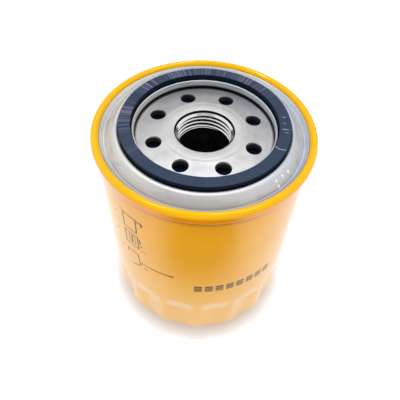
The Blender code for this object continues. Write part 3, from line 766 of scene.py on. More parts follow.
# %% The rubber
def make_gasket_rubber():
    finish = Finish("gasket_rubber", Metallic=0.0, IOR=1.5, Specular_IOR_Level=0.12)
    knife = finish.noise(finish.around(46, 0.02, 0.0), 1.0, 2.0, 0.6)
    fine_knife = finish.noise(finish.around(120, 0.05, 0.0), 1.0, 1.0)
    blunt = math.radians(128)
    side = (finish.x * math.cos(blunt) + finish.y * math.sin(blunt)) / finish.radius
    patches = finish.noise(finish.around(2.6, 0.0, 0.0), 1.0, 2.0).between(0.35, 0.6)
    zone = side.between(-0.4, 0.8) * 0.94 * patches + 0.06
    top = finish.z.between(GASKET_TOP - 0.35, GASKET_TOP - 0.1)
    lines = (knife.between(0.46, 0.68) * 0.8 + fine_knife.between(0.5, 0.75) * 0.5).clamped() * zone
    slate = finish.mix(lines, srgb(46, 60, 82), srgb(126, 124, 150))
    dust = finish.noise(finish.place, 2.4, 3.0).between(0.62, 0.75)
    slate = finish.mix(dust * 0.18, slate, srgb(130, 134, 146))
    body = finish.mix(top, srgb(3, 20, 38), slate)
    scuffs = [
        ((33.2, 4.6), (34.0, 4.4), 0.16),
        ((33.0, 0.8), (33.7, 0.6), 0.14),
        ((32.4, -3.0), (34.6, -3.2), 0.17),
        ((33.2, -5.0), (34.6, -5.3), 0.1),
        ((28.6, -13.4), (30.4, -14.9), 0.15),
        ((30.4, -14.9), (32.7, -15.2), 0.14),
    ]
    scuffed = any_of([line_stroke(finish.x, finish.y, *scuff) for scuff in scuffs])
    body = finish.mix(scuffed * top * 0.8, body, srgb(176, 184, 200))
    finish.feed("Base Color", body)
    finish.feed("Roughness", 0.55 + lines * 0.15 - (1 - top) * 0.1)
    finish.bump(knife * 0.6 + fine_knife * 0.4, 0.03, 0.8)
    return finish.material


# %% The gasket
GASKET_INNER = 31.4
gasket = ring(
    "square_gasket",
    [
        (GASKET_INNER, GASKET_TOP, 0.3),
        (GASKET_RADIUS, GASKET_TOP, 0.35),
        (GASKET_RADIUS, GASKET_FOOT, 0.3),
        (GASKET_INNER, GASKET_FOOT, 0.3),
    ],
    FINE,
)
place(gasket, "housing", "mounting_gasket", make_gasket_rubber())

# %% [markdown]
# ## Finish: pressed steel
#
# The base plate is thick cold-rolled steel, dulled by tumbling and by the oil that keeps it from rusting. It has a
# broad soft mottle, tiny pits, and a stained patch beside the threaded hole where the blank was coined.


# %% The plate's sizes
PITCH = 25.4 / 12
MINOR, MAJOR = 11.65, 12.7
COLLAR = 15.5
PLATE_RIM = CROWN - 0.7
PLATE_BOTTOM = PLATE_RIM - 2.6
MOUTH = CROWN - 1.9
BORE_ROWS = 96


# %% The steel
def make_steel():
    finish = Finish("tumbled_steel", Metallic=1.0)
    mottle = finish.noise(finish.place, 0.12, 4.0, 0.6)
    fine = finish.noise(finish.place, 1.6, 3.0, 0.6)
    body = finish.mix(mottle.between(0.3, 0.7), srgb(180, 180, 183), srgb(198, 198, 198))
    # Painted reflection: the plate is paler near the bore.
    body = finish.mix(finish.radius.between(22, 15) * 0.4, body, srgb(234, 233, 231))
    # Painted reflection: the far side of the plate is darker and bluer.
    painted_dark_reflection_far_side = (finish.y / PLATE_RADIUS).between(0.2, 0.7) * finish.radius.between(21, 27)
    body = finish.mix(painted_dark_reflection_far_side * 0.6, body, srgb(150, 154, 162))
    stain_zone = abs(finish.radius - 18.0).between(2.6, 0.6)
    side = (finish.x * 0.8 + finish.y * 0.5).between(4, 15)
    stain = finish.noise(finish.place, 1.3, 4.0, 0.75).between(0.5, 0.68) * stain_zone * side
    body = finish.mix(stain * 0.7, body, srgb(112, 104, 92))
    pits = finish.noise(finish.place, 3.4, 1.0).between(0.7, 0.76)
    body = finish.mix(pits * 0.5, body, srgb(120, 116, 112))
    bore = finish.radius < MAJOR + 0.42
    # Darker and rougher below the plate's top face, outside the bore.
    darker_below_top_face = (finish.z < PLATE_RIM - 0.8) * (1 - bore)
    # Painted shade: a near-black ring at the mouth of the bore, on the step where it turns down.
    on_edge = (finish.radius > MAJOR - 0.1) * (finish.radius < MAJOR + 0.6)
    step = on_edge * (finish.z > CROWN - 1.15) * (finish.z < CROWN - 0.03)
    # Painted shade: the roots of the thread are dark.
    painted_shade_in_thread_roots = (finish.radius - MINOR).between(0.3, 0.75) * (finish.z < MOUTH - 0.1)
    # Painted shadow: a dark ring on the plate just inside the lid's lip, under it.
    painted_shadow_under_lip = (finish.radius - LIP_RADIUS).between(-2.0, -0.9) * (finish.z > PLATE_BOTTOM + 1.0)
    body = finish.mix(darker_below_top_face * 0.9, body, srgb(58, 58, 62))
    body = finish.mix(painted_shadow_under_lip * 0.85, body, srgb(34, 38, 46))
    body = finish.mix(bore, body, srgb(230, 230, 230))
    body = finish.mix((painted_shade_in_thread_roots * bore * 0.85).most(step), body, srgb(24, 25, 30))
    finish.feed("Base Color", body)
    finish.feed("Roughness", (0.34 + fine * 0.14 + stain * 0.25 + darker_below_top_face * 0.3) * (1 - bore * 0.6))
    finish.bump(fine * 0.5 + mottle + (1 - pits) * 0.2, 0.03)
    return finish.material


STEEL = make_steel()

# %% [markdown]
# ## The base plate
#
# The plate is a domed disc with a threaded collar that hangs below it. Its outline is spun with many short steps
# down the bore, because the thread is then pressed into that fine wall: how deep depends on the height and on the
# angle together, which is what makes it a helix. The eight oil holes are cut with a pin whose neck flares, so that
# each hole gets the soft edge that a punch leaves.

# %% The plate's outline
def plate_chain():
    bore = [
        Vector((MINOR, COLLAR_FOOT + 0.4 + (MOUTH - COLLAR_FOOT - 0.4) * row / BORE_ROWS))
        for row in range(BORE_ROWS + 1)
    ]
    top = rounded(
        [
            (*bore[-1], 0),
            (MAJOR - 0.05, CROWN - 1.05, 0.1),
            (MAJOR + 0.45, CROWN, 0.12),
            (16.6, CROWN, 0.3),
            (17.2, CROWN - 0.025, 0.3),
            (17.8, CROWN - 0.025, 0.3),
            (18.6, CROWN - 0.015, 0.3),
            (28.2, PLATE_RIM, 4.0),
            (PLATE_RADIUS, PLATE_RIM, 0.3),
            (PLATE_RADIUS, PLATE_BOTTOM, 0.3),
            (COLLAR, PLATE_BOTTOM, 1.2),
            (COLLAR, COLLAR_FOOT, 0.5),
            (MINOR + 0.4, COLLAR_FOOT, 0.1),
        ],
        4,
    )[1:]
    return bore + top + bore[:1]


def thread_weight(angle, radius, height):
    """The form of a 60 degree thread with flats, fading out at both ends of the bore."""
    if radius > MINOR + 0.02 or height < COLLAR_FOOT + 0.3:
        return 0
    phase = (height / PITCH - angle / math.tau) % 1.0
    flank = abs(phase * 2 - 1)
    form = min(max((flank - 0.2) / 0.62, 0), 1)
    mouth = smooth_step((MOUTH - height) / 0.5)
    foot = smooth_step((height - COLLAR_FOOT - 0.4) / 0.5)
    return form * mouth * foot


plate = turned("threaded_plate", plate_chain(), FINE)
press(plate, MAJOR - MINOR, thread_weight)

# %% [markdown]
# The pin for the holes is a turned piece as well. One pin is made, and seven copies of it are set round the circle
# of the holes. They are joined into one cutter, and one exact Boolean takes all eight holes out of the plate.

# %% The oil holes
HOLES, HOLE_RADIUS, HOLE_CIRCLE, HOLE_PHASE = 8, 3.3, 22.9, 21.5
PIN_ABOVE, PIN_BELOW = 3, 6
flare = 0.22
surface = CROWN - 0.35
pin_chain = rounded(
    [
        (0, surface + PIN_ABOVE, 0),
        (HOLE_RADIUS + 1.2, surface + PIN_ABOVE, 0),
        (HOLE_RADIUS + flare, surface + 0.06, 0.1),
        (HOLE_RADIUS, surface - flare * 1.4, 0.25),
        (HOLE_RADIUS, surface - PIN_BELOW, 0),
        (0, surface - PIN_BELOW, 0),
    ],
    4,
)
pin = turned("pin", pin_chain, 48)
bpy.ops.object.mode_set(mode="EDIT")
bpy.ops.mesh.select_all(action="SELECT")
bpy.ops.transform.translate(value=(HOLE_CIRCLE * MM, 0, 0))
first = math.radians(HOLE_PHASE)
bpy.ops.mesh.spin(steps=HOLES, angle=math.tau, center=(0, 0, 0), axis=(0, 0, 1), dupli=True)
bpy.ops.mesh.select_all(action="SELECT")
bpy.ops.mesh.remove_doubles(threshold=WELD)
bpy.ops.transform.rotate(value=-first, orient_axis="Z", center_override=(0, 0, 0))
bpy.ops.mesh.select_all(action="DESELECT")
bpy.ops.object.mode_set(mode="OBJECT")
holes = plate.modifiers.new("holes", "BOOLEAN")
holes.object = pin
holes.operation = "DIFFERENCE"
apply_modifiers(plate)
bpy.data.objects.remove(pin)
bpy.ops.object.shade_smooth_by_angle(angle=SHARP)
place(plate, "housing", "base_plate", STEEL)

# %% [markdown]
# ## The anti-drain flap
#
# Under the oil holes lies a rubber flap like a shallow umbrella. Its neck grips the threaded collar, and its lip
# rests under the plate, so oil can come in but can't drain back. It is moulded, so all its edges are soft, and the
# mould leaves fine rings on its upper face. It is glossy because it is wet with oil.

# %% The flap's rubber
COLLAR_GAP = 0.4
FLAP_RUBBER = 1.3


def make_flap_rubber():
    finish = Finish("moulded_rubber", Metallic=0.0, IOR=1.5, Coat_Roughness=0.06, Specular_IOR_Level=0.3)
    film = finish.noise(finish.place, 0.35, 3.0)
    bloom = finish.noise(finish.place, 1.4, 4.0).between(0.5, 0.8)
    finish.feed("Base Color", finish.mix(bloom * 0.4, srgb(22, 32, 62), srgb(56, 66, 96)))
    finish.feed("Roughness", 0.16 + film.between(0.4, 0.7) * 0.2)
    finish.feed("Coat Weight", film.between(0.3, 0.6) * 0.8)
    rings = (finish.radius * 5.2).maths("SINE") * 0.5 + 0.5
    finish.bump(rings * 0.5 + film, 0.05)
    return finish.material


FLAP_LOOK = make_flap_rubber()

# %% The flap
FLAP_RADIUS, NECK_FOOT, FLAP_LIP = drawing("anti_drain_valve")
NECK = COLLAR + COLLAR_GAP
flap_root = FLAP_LIP - 2.6
flap_chain = rounded(
    [
        (NECK, flap_root + 0.9, 0.4),
        (NECK + FLAP_RUBBER + 1.0, flap_root + 0.6, 0.8),
        (FLAP_RADIUS - 2.0, FLAP_LIP - 0.5, 0.4),
        (FLAP_RADIUS - 1.2, FLAP_LIP, 0.3),
        (FLAP_RADIUS, FLAP_LIP, 0.35),
        (FLAP_RADIUS, FLAP_LIP - FLAP_RUBBER, 0.35),
        (NECK + FLAP_RUBBER + 2.0, flap_root - FLAP_RUBBER + 0.9, 1.0),
        (NECK + FLAP_RUBBER, flap_root - FLAP_RUBBER, 0.5),
        (NECK + FLAP_RUBBER, NECK_FOOT, 0.4),
        (NECK, NECK_FOOT, 0.4),
    ]
)
flap = turned("rubber_flap", flap_chain + flap_chain[:1], MEDIUM)
place(flap, "drain_flap", "anti_drain_valve", FLAP_LOOK)

# %% [markdown]
# ## Finish: tinplate
#
# Inside the can the filter element is held by thin tinned sheet. Tinplate is bright but soft: it takes fine rolling
# lines in one direction and picks up dull smudges when it is handled.


# %% The tinplate
def make_tinplate():
    finish = Finish("tinned_sheet", Metallic=1.0)
    stretch = finish.x.node("CombineXYZ", {}, {0: finish.x * 0.06, 1: finish.y * 1.4, 2: finish.z * 1.4})
    lines = finish.noise(stretch, 3.0, 3.0)
    smudge = finish.noise(finish.place, 0.09, 4.0).between(0.4, 0.7)
    # Painted shade: the tinplate's greys are kept dark, so the inside of the can reads dark down the bore.
    body = finish.mix(smudge, srgb(132, 134, 136), srgb(104, 105, 106))
    finish.feed("Base Color", finish.mix(lines * 0.3, body, srgb(156, 157, 158)))
    finish.feed("Roughness", 0.3 + lines * 0.12 + smudge * 0.14)
    finish.bump(lines, 0.015)
    return finish.material


TINPLATE = make_tinplate()

# %% [markdown]
# ## The end caps
#
# Two caps close the ends of the element. The upper one has a neck that the rubber grommet seals against the
# threaded collar, and a ring is pressed up in it to stiffen it. Both are drawn as one face of the sheet, and
# `pressed` adds the other.

# %% The upper end cap
CAP_SHEET = 0.6
CAP_RADIUS, CAP_FOOT, CAP_HEAD = drawing("upper_end_cap")
TUBE_RADIUS, TUBE_FOOT, TUBE_HEAD = drawing("centre_tube")
TUBE_WALL = 0.8
CAP_NECK = TUBE_RADIUS - TUBE_WALL - 0.3 - CAP_SHEET
CAP_TRAY = CAP_HEAD - 0.7
upper_cap_chain = rounded(
    [
        (CAP_NECK, CAP_FOOT, 0),
        (CAP_NECK, CAP_HEAD, 0.2),
        (COLLAR + 1.0, CAP_HEAD, 0.9),
        (COLLAR + 2.4, CAP_TRAY, 0.9),
        (24.0, CAP_TRAY, 0.7),
        (24.8, CAP_TRAY + 0.5, 0.7),
        (28.2, CAP_TRAY + 0.5, 0.7),
        (29.0, CAP_TRAY, 0.7),
        (CAP_RADIUS, CAP_TRAY, 1.0),
        (CAP_RADIUS, CAP_FOOT, 0),
    ]
)
upper_cap = turned("top_cap", pressed(upper_cap_chain, -CAP_SHEET), MEDIUM)
place(upper_cap, "element", "upper_end_cap", TINPLATE)

# %% The lower end cap
_, LOWER_FOOT, LOWER_HEAD = drawing("lower_end_cap")
SEAT_HOLE = 8.0
SEAT_NECK = SEAT_HOLE + 1.7
lower_cap_chain = rounded(
    [
        (CAP_RADIUS, LOWER_HEAD, 0),
        (CAP_RADIUS, LOWER_FOOT, 1.0),
        (SEAT_NECK + 0.3, LOWER_FOOT, 0),
    ]
)
lower_cap = turned("bottom_cap", pressed(lower_cap_chain, -CAP_SHEET), MEDIUM)
place(lower_cap, "element", "lower_end_cap", TINPLATE)

# %% The grommet between the collar and the upper cap
_, GROMMET_FOOT, GROMMET_HEAD = drawing("neck_grommet")
GROMMET_MIDDLE = (GROMMET_FOOT + GROMMET_HEAD) / 2
grommet = ring(
    "collar_grommet",
    [
        (MAJOR + 0.4, GROMMET_HEAD, 0.3),
        (COLLAR, GROMMET_HEAD, 0.3),
        (COLLAR, GROMMET_MIDDLE + 0.35, 0.15),
        (COLLAR - 0.3, GROMMET_MIDDLE, 0.15),
        (COLLAR, GROMMET_MIDDLE - 0.35, 0.15),
        (COLLAR, GROMMET_FOOT, 0.3),
        (MAJOR + 0.4, GROMMET_FOOT, 0.3),
    ],
    COARSE,
    3,
)
place(grommet, "element", "neck_grommet", FLAP_LOOK)

# %% [markdown]
# ## Plastisol
#
# The paper's ends are bedded in plastisol, a liquid plastic that is poured into each cap and baked. It sets with a
# smooth skin that has a few pores in it.


# %% The plastisol rings
def make_plastisol():
    finish = Finish("baked_plastisol", Metallic=0.0, IOR=1.48)
    skin = finish.noise(finish.place, 0.4, 3.0)
    pores = finish.noise(finish.place, 2.2, 1.0).between(0.66, 0.74)
    body = finish.mix(skin, srgb(168, 78, 56), srgb(190, 96, 70))
    finish.feed("Base Color", finish.mix(pores, body, srgb(96, 40, 28)))
    finish.feed("Roughness", 0.38 + skin * 0.2)
    finish.bump(skin - pores * 0.6, 0.12)
    return finish.material


PLASTISOL = make_plastisol()
for name, node in (("top_potting", "upper_potting"), ("bottom_potting", "lower_potting")):
    potting = box_ring(name, node, TUBE_RADIUS + 0.3, 0.5)
    place(potting, "element", node, PLASTISOL)

# %% [markdown]
# ## The pleated paper
#
# The paper is folded into pleats that stand round the centre tube. Only one pleat is drawn, seen from above: a
# small arc at its outer fold, two straight flanks, and half of the fold next to the tube at each end. Spinning with
# duplicates sets it round, the chains are welded into one wavy ring, the ring is extruded up, and Solidify gives it
# the paper's thickness on both sides.

# %% One pleat
PLEATS = 48
PAPER = 0.6
PAPER_OUTER, PAPER_FOOT, PAPER_HEAD = drawing("pleated_media")
PAPER_INNER = TUBE_RADIUS + 2.0
OUTER_FOLD, INNER_FOLD = 0.65, 0.55
HALF_PLEAT = math.pi / PLEATS


def pleat_chain():
    """The middle of the paper from one inner fold, round the outer fold, to the next inner fold."""
    outer = Vector((PAPER_OUTER - PAPER / 2 - OUTER_FOLD, 0))
    inner_radius = PAPER_INNER + PAPER / 2 + INNER_FOLD
    inner = Vector((math.cos(HALF_PLEAT), math.sin(HALF_PLEAT))) * inner_radius
    between = inner - outer
    lean = math.asin((OUTER_FOLD + INNER_FOLD) / between.length)
    normal = math.atan2(between.y, between.x) - math.pi / 2 + lean
    half = []
    for step in range(5):
        turn = normal * step / 4
        half.append(outer + Vector((math.cos(turn), math.sin(turn))) * OUTER_FOLD)
    facing = HALF_PLEAT + math.pi
    start = normal + math.pi
    for step in range(4):
        turn = start + (facing - start) * step / 3
        half.append(inner + Vector((math.cos(turn), math.sin(turn))) * INNER_FOLD)
    mirrored = [Vector((point.x, -point.y)) for point in half[:0:-1]]
    return [(point.x, point.y, PAPER_FOOT) for point in mirrored + half]


# %% The paper's finish
def make_paper():
    finish = Finish("filter_paper", Metallic=0.0, Sheen_Weight=0.15, Specular_IOR_Level=0.2)
    fibres = finish.noise(finish.place, 2.6, 6.0, 0.7)
    cloud = finish.noise(finish.place, 0.2, 3.0)
    body = finish.mix(cloud, srgb(176, 148, 104), srgb(190, 164, 122))
    # Painted shade: the paper turns nearly black towards the tube, deep inside the can.
    painted_shade_at_inner_folds = finish.radius.between(PAPER_INNER + 9.0, PAPER_INNER + 2.0)
    body = finish.mix(painted_shade_at_inner_folds * 0.95, body, srgb(26, 22, 20))
    finish.feed("Base Color", finish.mix(fibres.between(0.5, 0.8) * 0.6, body, srgb(142, 112, 72)))
    finish.feed("Roughness", 0.8 + fibres * 0.15)
    finish.bump(fibres, 0.1)
    return finish.material


# %% The pleats set round and extruded
paper = drawn("pleated_paper", pleat_chain())
bpy.ops.mesh.spin(steps=PLEATS, angle=math.tau, center=(0, 0, 0), axis=(0, 0, 1), dupli=True)
bpy.ops.mesh.select_all(action="SELECT")
bpy.ops.mesh.remove_doubles(threshold=WELD * 5)
bpy.ops.mesh.select_all(action="SELECT")
rise = {"value": (0, 0, (PAPER_HEAD - PAPER_FOOT) * MM)}
bpy.ops.mesh.extrude_region_move(TRANSFORM_OT_translate=rise)
leave_edit(paper)
body_of_paper = paper.modifiers.new("paper", "SOLIDIFY")
body_of_paper.thickness = PAPER * MM
body_of_paper.offset = 0
body_of_paper.use_even_offset = True
apply_modifiers(paper)
place(paper, "element", "pleated_media", make_paper())

# %% [markdown]
# ## The seam clip
#
# Where the paper's two ends meet, a folded strip of sheet pinches them together. It is a narrow channel over one
# outer fold, and its mouth is turned out a little so that it slides on.

# %% The clip
CLIP_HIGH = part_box("media_seam_clip")[1] / MM
CLIP_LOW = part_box("media_seam_clip")[0] / MM
CLIP_SHEET = 0.5
clip_half = CLIP_HIGH.y - CLIP_SHEET
clip_chain = rounded(
    [
        (CLIP_LOW.x, CLIP_HIGH.y - CLIP_SHEET, 0),
        (CLIP_LOW.x + 1.2, clip_half - 0.12, 0.8),
        (CLIP_HIGH.x - CLIP_SHEET, clip_half, 0.4),
        (CLIP_HIGH.x - CLIP_SHEET, -clip_half, 0.4),
        (CLIP_LOW.x + 1.2, 0.12 - clip_half, 0.8),
        (CLIP_LOW.x, CLIP_SHEET - CLIP_HIGH.y, 0),
    ]
)
clip_outline = pressed(clip_chain, CLIP_SHEET)
clip = drawn("seam_clip", [(x, y, CLIP_LOW.z) for x, y in clip_outline])
bpy.ops.mesh.remove_doubles(threshold=WELD)
bpy.ops.mesh.edge_face_add()
bpy.ops.mesh.extrude_region_move(TRANSFORM_OT_translate={"value": (0, 0, (CLIP_HIGH.z - CLIP_LOW.z) * MM)})
leave_edit(clip)
place(clip, "element", "media_seam_clip", TINPLATE)

# %% [markdown]
# ## The centre tube
#
# Clean oil leaves through a tube with staggered holes. The tube is spun, and a row of pins is taken out of it for
# each row of holes. One pin is a cylinder laid on its side, and spinning with duplicates makes the row.

# %% The tube and its holes
TUBE_ROWS, TUBE_COLUMNS, TUBE_HOLE = 5, 6, 2.75
tube = ring(
    "perforated_tube",
    [
        (TUBE_RADIUS - TUBE_WALL, TUBE_HEAD, 0.2),
        (TUBE_RADIUS, TUBE_HEAD, 0.2),
        (TUBE_RADIUS, TUBE_FOOT, 0.2),
        (TUBE_RADIUS - TUBE_WALL, TUBE_FOOT, 0.2),
    ],
    MEDIUM,
    2,
)
for row in range(TUBE_ROWS):
    height = PAPER_FOOT + (row + 0.5) * (PAPER_HEAD - PAPER_FOOT) / TUBE_ROWS
    first = math.tau * (row % 2 / 2 + 0.25) / TUBE_COLUMNS
    deselect()
    bpy.ops.mesh.primitive_cylinder_add(
        vertices=32,
        radius=TUBE_HOLE * MM,
        depth=6 * MM,
        location=Vector((TUBE_RADIUS * math.cos(first), TUBE_RADIUS * math.sin(first), height)) * MM,
        rotation=(0, math.pi / 2, first),
    )
    pins = bpy.context.object
    bpy.ops.object.transform_apply(location=True, rotation=True, scale=True)
    bpy.ops.object.mode_set(mode="EDIT")
    bpy.ops.mesh.select_all(action="SELECT")
    bpy.ops.mesh.spin(steps=TUBE_COLUMNS, angle=math.tau, center=(0, 0, 0), axis=(0, 0, 1), dupli=True)
    bpy.ops.mesh.select_all(action="SELECT")
    bpy.ops.mesh.remove_doubles(threshold=WELD)
    bpy.ops.object.mode_set(mode="OBJECT")
    cut = tube.modifiers.new("holes", "BOOLEAN")
    cut.object = pins
    cut.operation = "DIFFERENCE"
    apply_modifiers(tube)
    bpy.data.objects.remove(pins)
place(tube, "element", "centre_tube", TINPLATE)

# %% [markdown]
# ## The by-pass valve
#
# If the paper clogs, oil must still reach the engine. A nylon poppet with a rubber seal is held on its seat by a
# spring inside a cage, and it lifts when the pressure is too high. All four turned pieces are drawn with the same
# helpers. The ones that reach the axis start and end on it, so their poles are closed by the weld.

# %% The seat
seat_outer, seat_foot, seat_head = drawing("bypass_seat")
seat = ring(
    "valve_seat",
    [
        (SEAT_HOLE, seat_head, 0.4),
        (seat_outer, seat_head, 0.4),
        (seat_outer, seat_head - 1.5, 0.2),
        (SEAT_NECK, seat_head - 1.5, 0.1),
        (SEAT_NECK, seat_foot, 0.4),
        (SEAT_HOLE, seat_foot, 0.4),
    ],
    COARSE,
    4,
)
place(seat, "element", "bypass_seat", TINPLATE)


# %% The seal and the poppet
def make_nylon():
    finish = Finish("moulded_nylon", Metallic=0.0, IOR=1.53, Subsurface_Weight=0.1)
    flow = finish.noise(finish.place, 0.5, 3.0)
    finish.feed("Base Color", finish.mix(flow, srgb(224, 219, 202), srgb(236, 232, 218)))
    finish.feed("Roughness", 0.36 + flow * 0.18)
    finish.bump(flow, 0.04)
    return finish.material


seal_radius, seal_foot, seal_head = drawing("bypass_seal")
poppet_radius, poppet_foot, poppet_head = drawing("bypass_poppet")
STEM = 3.2
seal_chain = rounded(
    [(0, seal_head, 0), (seal_radius, seal_head, 0.3), (seal_radius, seal_foot, 0.3), (0, seal_foot, 0)]
)
seal = turned("valve_seal", seal_chain, COARSE)
place(seal, "bypass_valve", "bypass_seal", FLAP_LOOK)

poppet_chain = rounded(
    [
        (0, poppet_head, 0),
        (STEM, poppet_head, 0.8),
        (STEM, poppet_foot + 1.5, 0.5),
        (poppet_radius, poppet_foot + 1.5, 0.4),
        (poppet_radius, poppet_foot, 0.3),
        (0, poppet_foot, 0),
    ]
)
poppet = turned("valve_poppet", poppet_chain, COARSE)
place(poppet, "bypass_valve", "bypass_poppet", make_nylon())

# %% The cage and its windows
CAGE_SHEET = 0.8
CAGE_RADIUS = 14.6
cage_outer, cage_foot, cage_head = drawing("bypass_cage")
cage_chain = rounded(
    [
        (STEM + 0.4, cage_head, 0),
        (CAGE_RADIUS, cage_head, 1.6),
        (CAGE_RADIUS, cage_foot + CAGE_SHEET, 0.4),
        (cage_outer, cage_foot + CAGE_SHEET, 0),
    ]
)
cage = turned("valve_cage", pressed(cage_chain, -CAGE_SHEET), COARSE)
window_low, window_high = seat_head + 1.5, cage_head - 3.5
for turn in (0, math.pi / 2):
    deselect()
    bpy.ops.mesh.primitive_cube_add(
        size=MM,
        location=(0, 0, (window_low + window_high) / 2 * MM),
        rotation=(0, 0, turn),
        scale=(3 * CAGE_RADIUS, 0.9 * CAGE_RADIUS, window_high - window_low),
    )
    bar = bpy.context.object
    bpy.ops.object.transform_apply(location=True, rotation=True, scale=True)
    bpy.ops.object.mode_set(mode="EDIT")
    bpy.ops.mesh.select_all(action="DESELECT")
    bpy.ops.object.mode_set(mode="OBJECT")
    long_way = Vector((math.cos(turn), math.sin(turn), 0))
    for edge in bar.data.edges:
        run = bar.data.vertices[edge.vertices[1]].co - bar.data.vertices[edge.vertices[0]].co
        edge.select = abs(run.normalized().dot(long_way)) > 0.9
    bpy.ops.object.mode_set(mode="EDIT")
    bpy.ops.mesh.select_mode(type="EDGE")
    bpy.ops.mesh.bevel(offset=1.5 * MM, segments=5)
    bpy.ops.mesh.select_mode(type="VERT")
    bpy.ops.object.mode_set(mode="OBJECT")
    cut = cage.modifiers.new("windows", "BOOLEAN")
    cut.object = bar
    cut.operation = "DIFFERENCE"
    apply_modifiers(cage)
    bpy.data.objects.remove(bar)
place(cage, "element", "bypass_cage", TINPLATE)

# %% [markdown]
# ## The springs
#
# A coil spring is a wire along a helix, and its end turns lie close together so that it stands flat. The path is a
# formula: how far round gives how far up. The chain of edges is drawn like every other chain, turned into a curve,
# given a round bevel for the wire, and turned back into a mesh.


# %% Coiling a spring
def make_spring_steel():
    finish = Finish("drawn_wire", Metallic=1.0)
    drawn_lines = finish.noise(finish.place, 1.1, 4.0, 0.7)
    heat = finish.noise(finish.place, 0.18, 2.0)
    finish.feed("Base Color", finish.mix(heat, srgb(118, 116, 118), srgb(146, 142, 138)))
    finish.feed("Roughness", 0.28 + drawn_lines * 0.2)
    finish.bump(drawn_lines, 0.02)
    return finish.material


def coiled(name, radius, wire, low, high, turns, steps_per_turn=32):
    """A spring with closed ends, whose wire stays between the two heights."""
    closed, close_pitch = 0.8, wire * 1.12
    start, stop = low + wire / 2, high - wire / 2
    active = turns - 2 * closed
    open_pitch = (stop - start - 2 * closed * close_pitch) / active
    path = []
    for step in range(round(turns * steps_per_turn) + 1):
        turn = step / steps_per_turn
        lower, upper = min(turn, closed), max(turn - closed - active, 0)
        middle = min(max(turn - closed, 0), active)
        height = start + (lower + upper) * close_pitch + middle * open_pitch
        path.append((radius * math.cos(math.tau * turn), radius * math.sin(math.tau * turn), height))
    spring = drawn(name, path)
    bpy.ops.object.mode_set(mode="OBJECT")
    bpy.ops.object.convert(target="CURVE")
    spring = bpy.context.object
    spring.data.bevel_depth = wire / 2 * MM
    spring.data.bevel_resolution = 3
    spring.data.use_fill_caps = True
    bpy.ops.object.convert(target="MESH")
    spring = bpy.context.object
    bpy.ops.object.mode_set(mode="EDIT")
    return leave_edit(spring)


# %% The load spring under the element
SPRING_STEEL = make_spring_steel()
LOAD_RADIUS, LOAD_WIRE, LOAD_TURNS = 20.0, 2.4, 3.6
load_low, load_high = (corner.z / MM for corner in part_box("load_spring"))
load_coil = coiled("load_coil", LOAD_RADIUS, LOAD_WIRE, load_low, load_high, LOAD_TURNS)
place(load_coil, "housing", "load_spring", SPRING_STEEL)
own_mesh(load_coil)

# %% The by-pass spring round the poppet's stem
BYPASS_RADIUS, BYPASS_WIRE, BYPASS_TURNS = 7.0, 1.4, 5.2
bypass_low, bypass_high = (corner.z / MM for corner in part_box("bypass_spring"))
bypass_coil = coiled("bypass_coil", BYPASS_RADIUS, BYPASS_WIRE, bypass_low, bypass_high, BYPASS_TURNS)
place(bypass_coil, "element", "bypass_spring", SPRING_STEEL)
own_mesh(bypass_coil)

# %% [markdown]
# ## The floor and the light
#
# The filter stands on a broad white table with a glow of its own, so its shadow is only a soft dark edge at its foot.
# Close to the filter the glow dims and turns warm: a painted shadow and a painted warm bounce from the can. The
# camera sees a little more of the glow, which brings the open table to white while the shadow stays. Metal and paint
# see the same white room.


# %% The floor
FLOOR_GLOW, FLOOR_SHOWN = 0.5, 0.36


def make_floor_white():
    white = bpy.data.materials.new("white_floor")
    white.use_nodes = True
    tree = white.node_tree
    shader = tree.nodes["Principled BSDF"]
    shader.inputs["Base Color"].default_value = (0.26, 0.257, 0.252, 1)
    shader.inputs["Roughness"].default_value = 0.9
    shader.inputs["Specular IOR Level"].default_value = 0.1
    paths = tree.nodes.new("ShaderNodeLightPath")
    seen = Flow(tree, paths.outputs["Is Camera Ray"]).most(Flow(tree, paths.outputs["Is Glossy Ray"]))
    # Painted shadow: close to the filter the table's glow dims, and its colour turns warm as a painted bounce from
    # the can.
    near = seen.node("AmbientOcclusion", {"samples": 16}, {"Distance": 0.009}, out=1)
    strength = (seen * FLOOR_SHOWN + FLOOR_GLOW) * (near * near * 0.5 + 0.5)
    painted_warm_bounce = near.node("Mix", {"data_type": "RGBA"}, {0: near, 6: (1, 0.72, 0.5, 1), 7: (1, 1, 1, 1)}, out=2)
    glow = seen.node("Emission", {}, {"Color": painted_warm_bounce, "Strength": strength})
    white_top = seen.node("AddShader", {}, {0: glow, 1: Flow(tree, shader.outputs[0])})
    below = Flow(tree, tree.nodes.new("ShaderNodeNewGeometry").outputs["Backfacing"])
    clear = seen.node("BsdfTransparent", {}, {})
    sided = seen.node("MixShader", {}, {0: below, 1: white_top, 2: clear})
    tree.links.new(sided.socket, tree.nodes["Material Output"].inputs["Surface"])
    return white


deselect()
bpy.ops.mesh.primitive_plane_add(size=8, location=(0, 0, -0.0003))
floor = bpy.context.object
floor.name = "floor"
floor.data.materials.append(make_floor_white())

# %% The white room
room = bpy.data.worlds.new("white_room")
bpy.context.scene.world = room
room.use_nodes = True
room_tree = room.node_tree
paths = room_tree.nodes.new("ShaderNodeLightPath")
looked_at = Flow(room_tree, paths.outputs["Is Camera Ray"])
looked_at = looked_at.most(Flow(room_tree, paths.outputs["Is Glossy Ray"]))
looked_at = looked_at.most(Flow(room_tree, paths.outputs["Is Transmission Ray"]))
AMBIENT = 0.92
room_glow = looked_at * (1 - AMBIENT) + AMBIENT
background = room_tree.nodes["Background"]
room_tree.links.new(room_glow.socket, background.inputs["Strength"])
background.inputs["Color"].default_value = (1, 1, 1, 1)


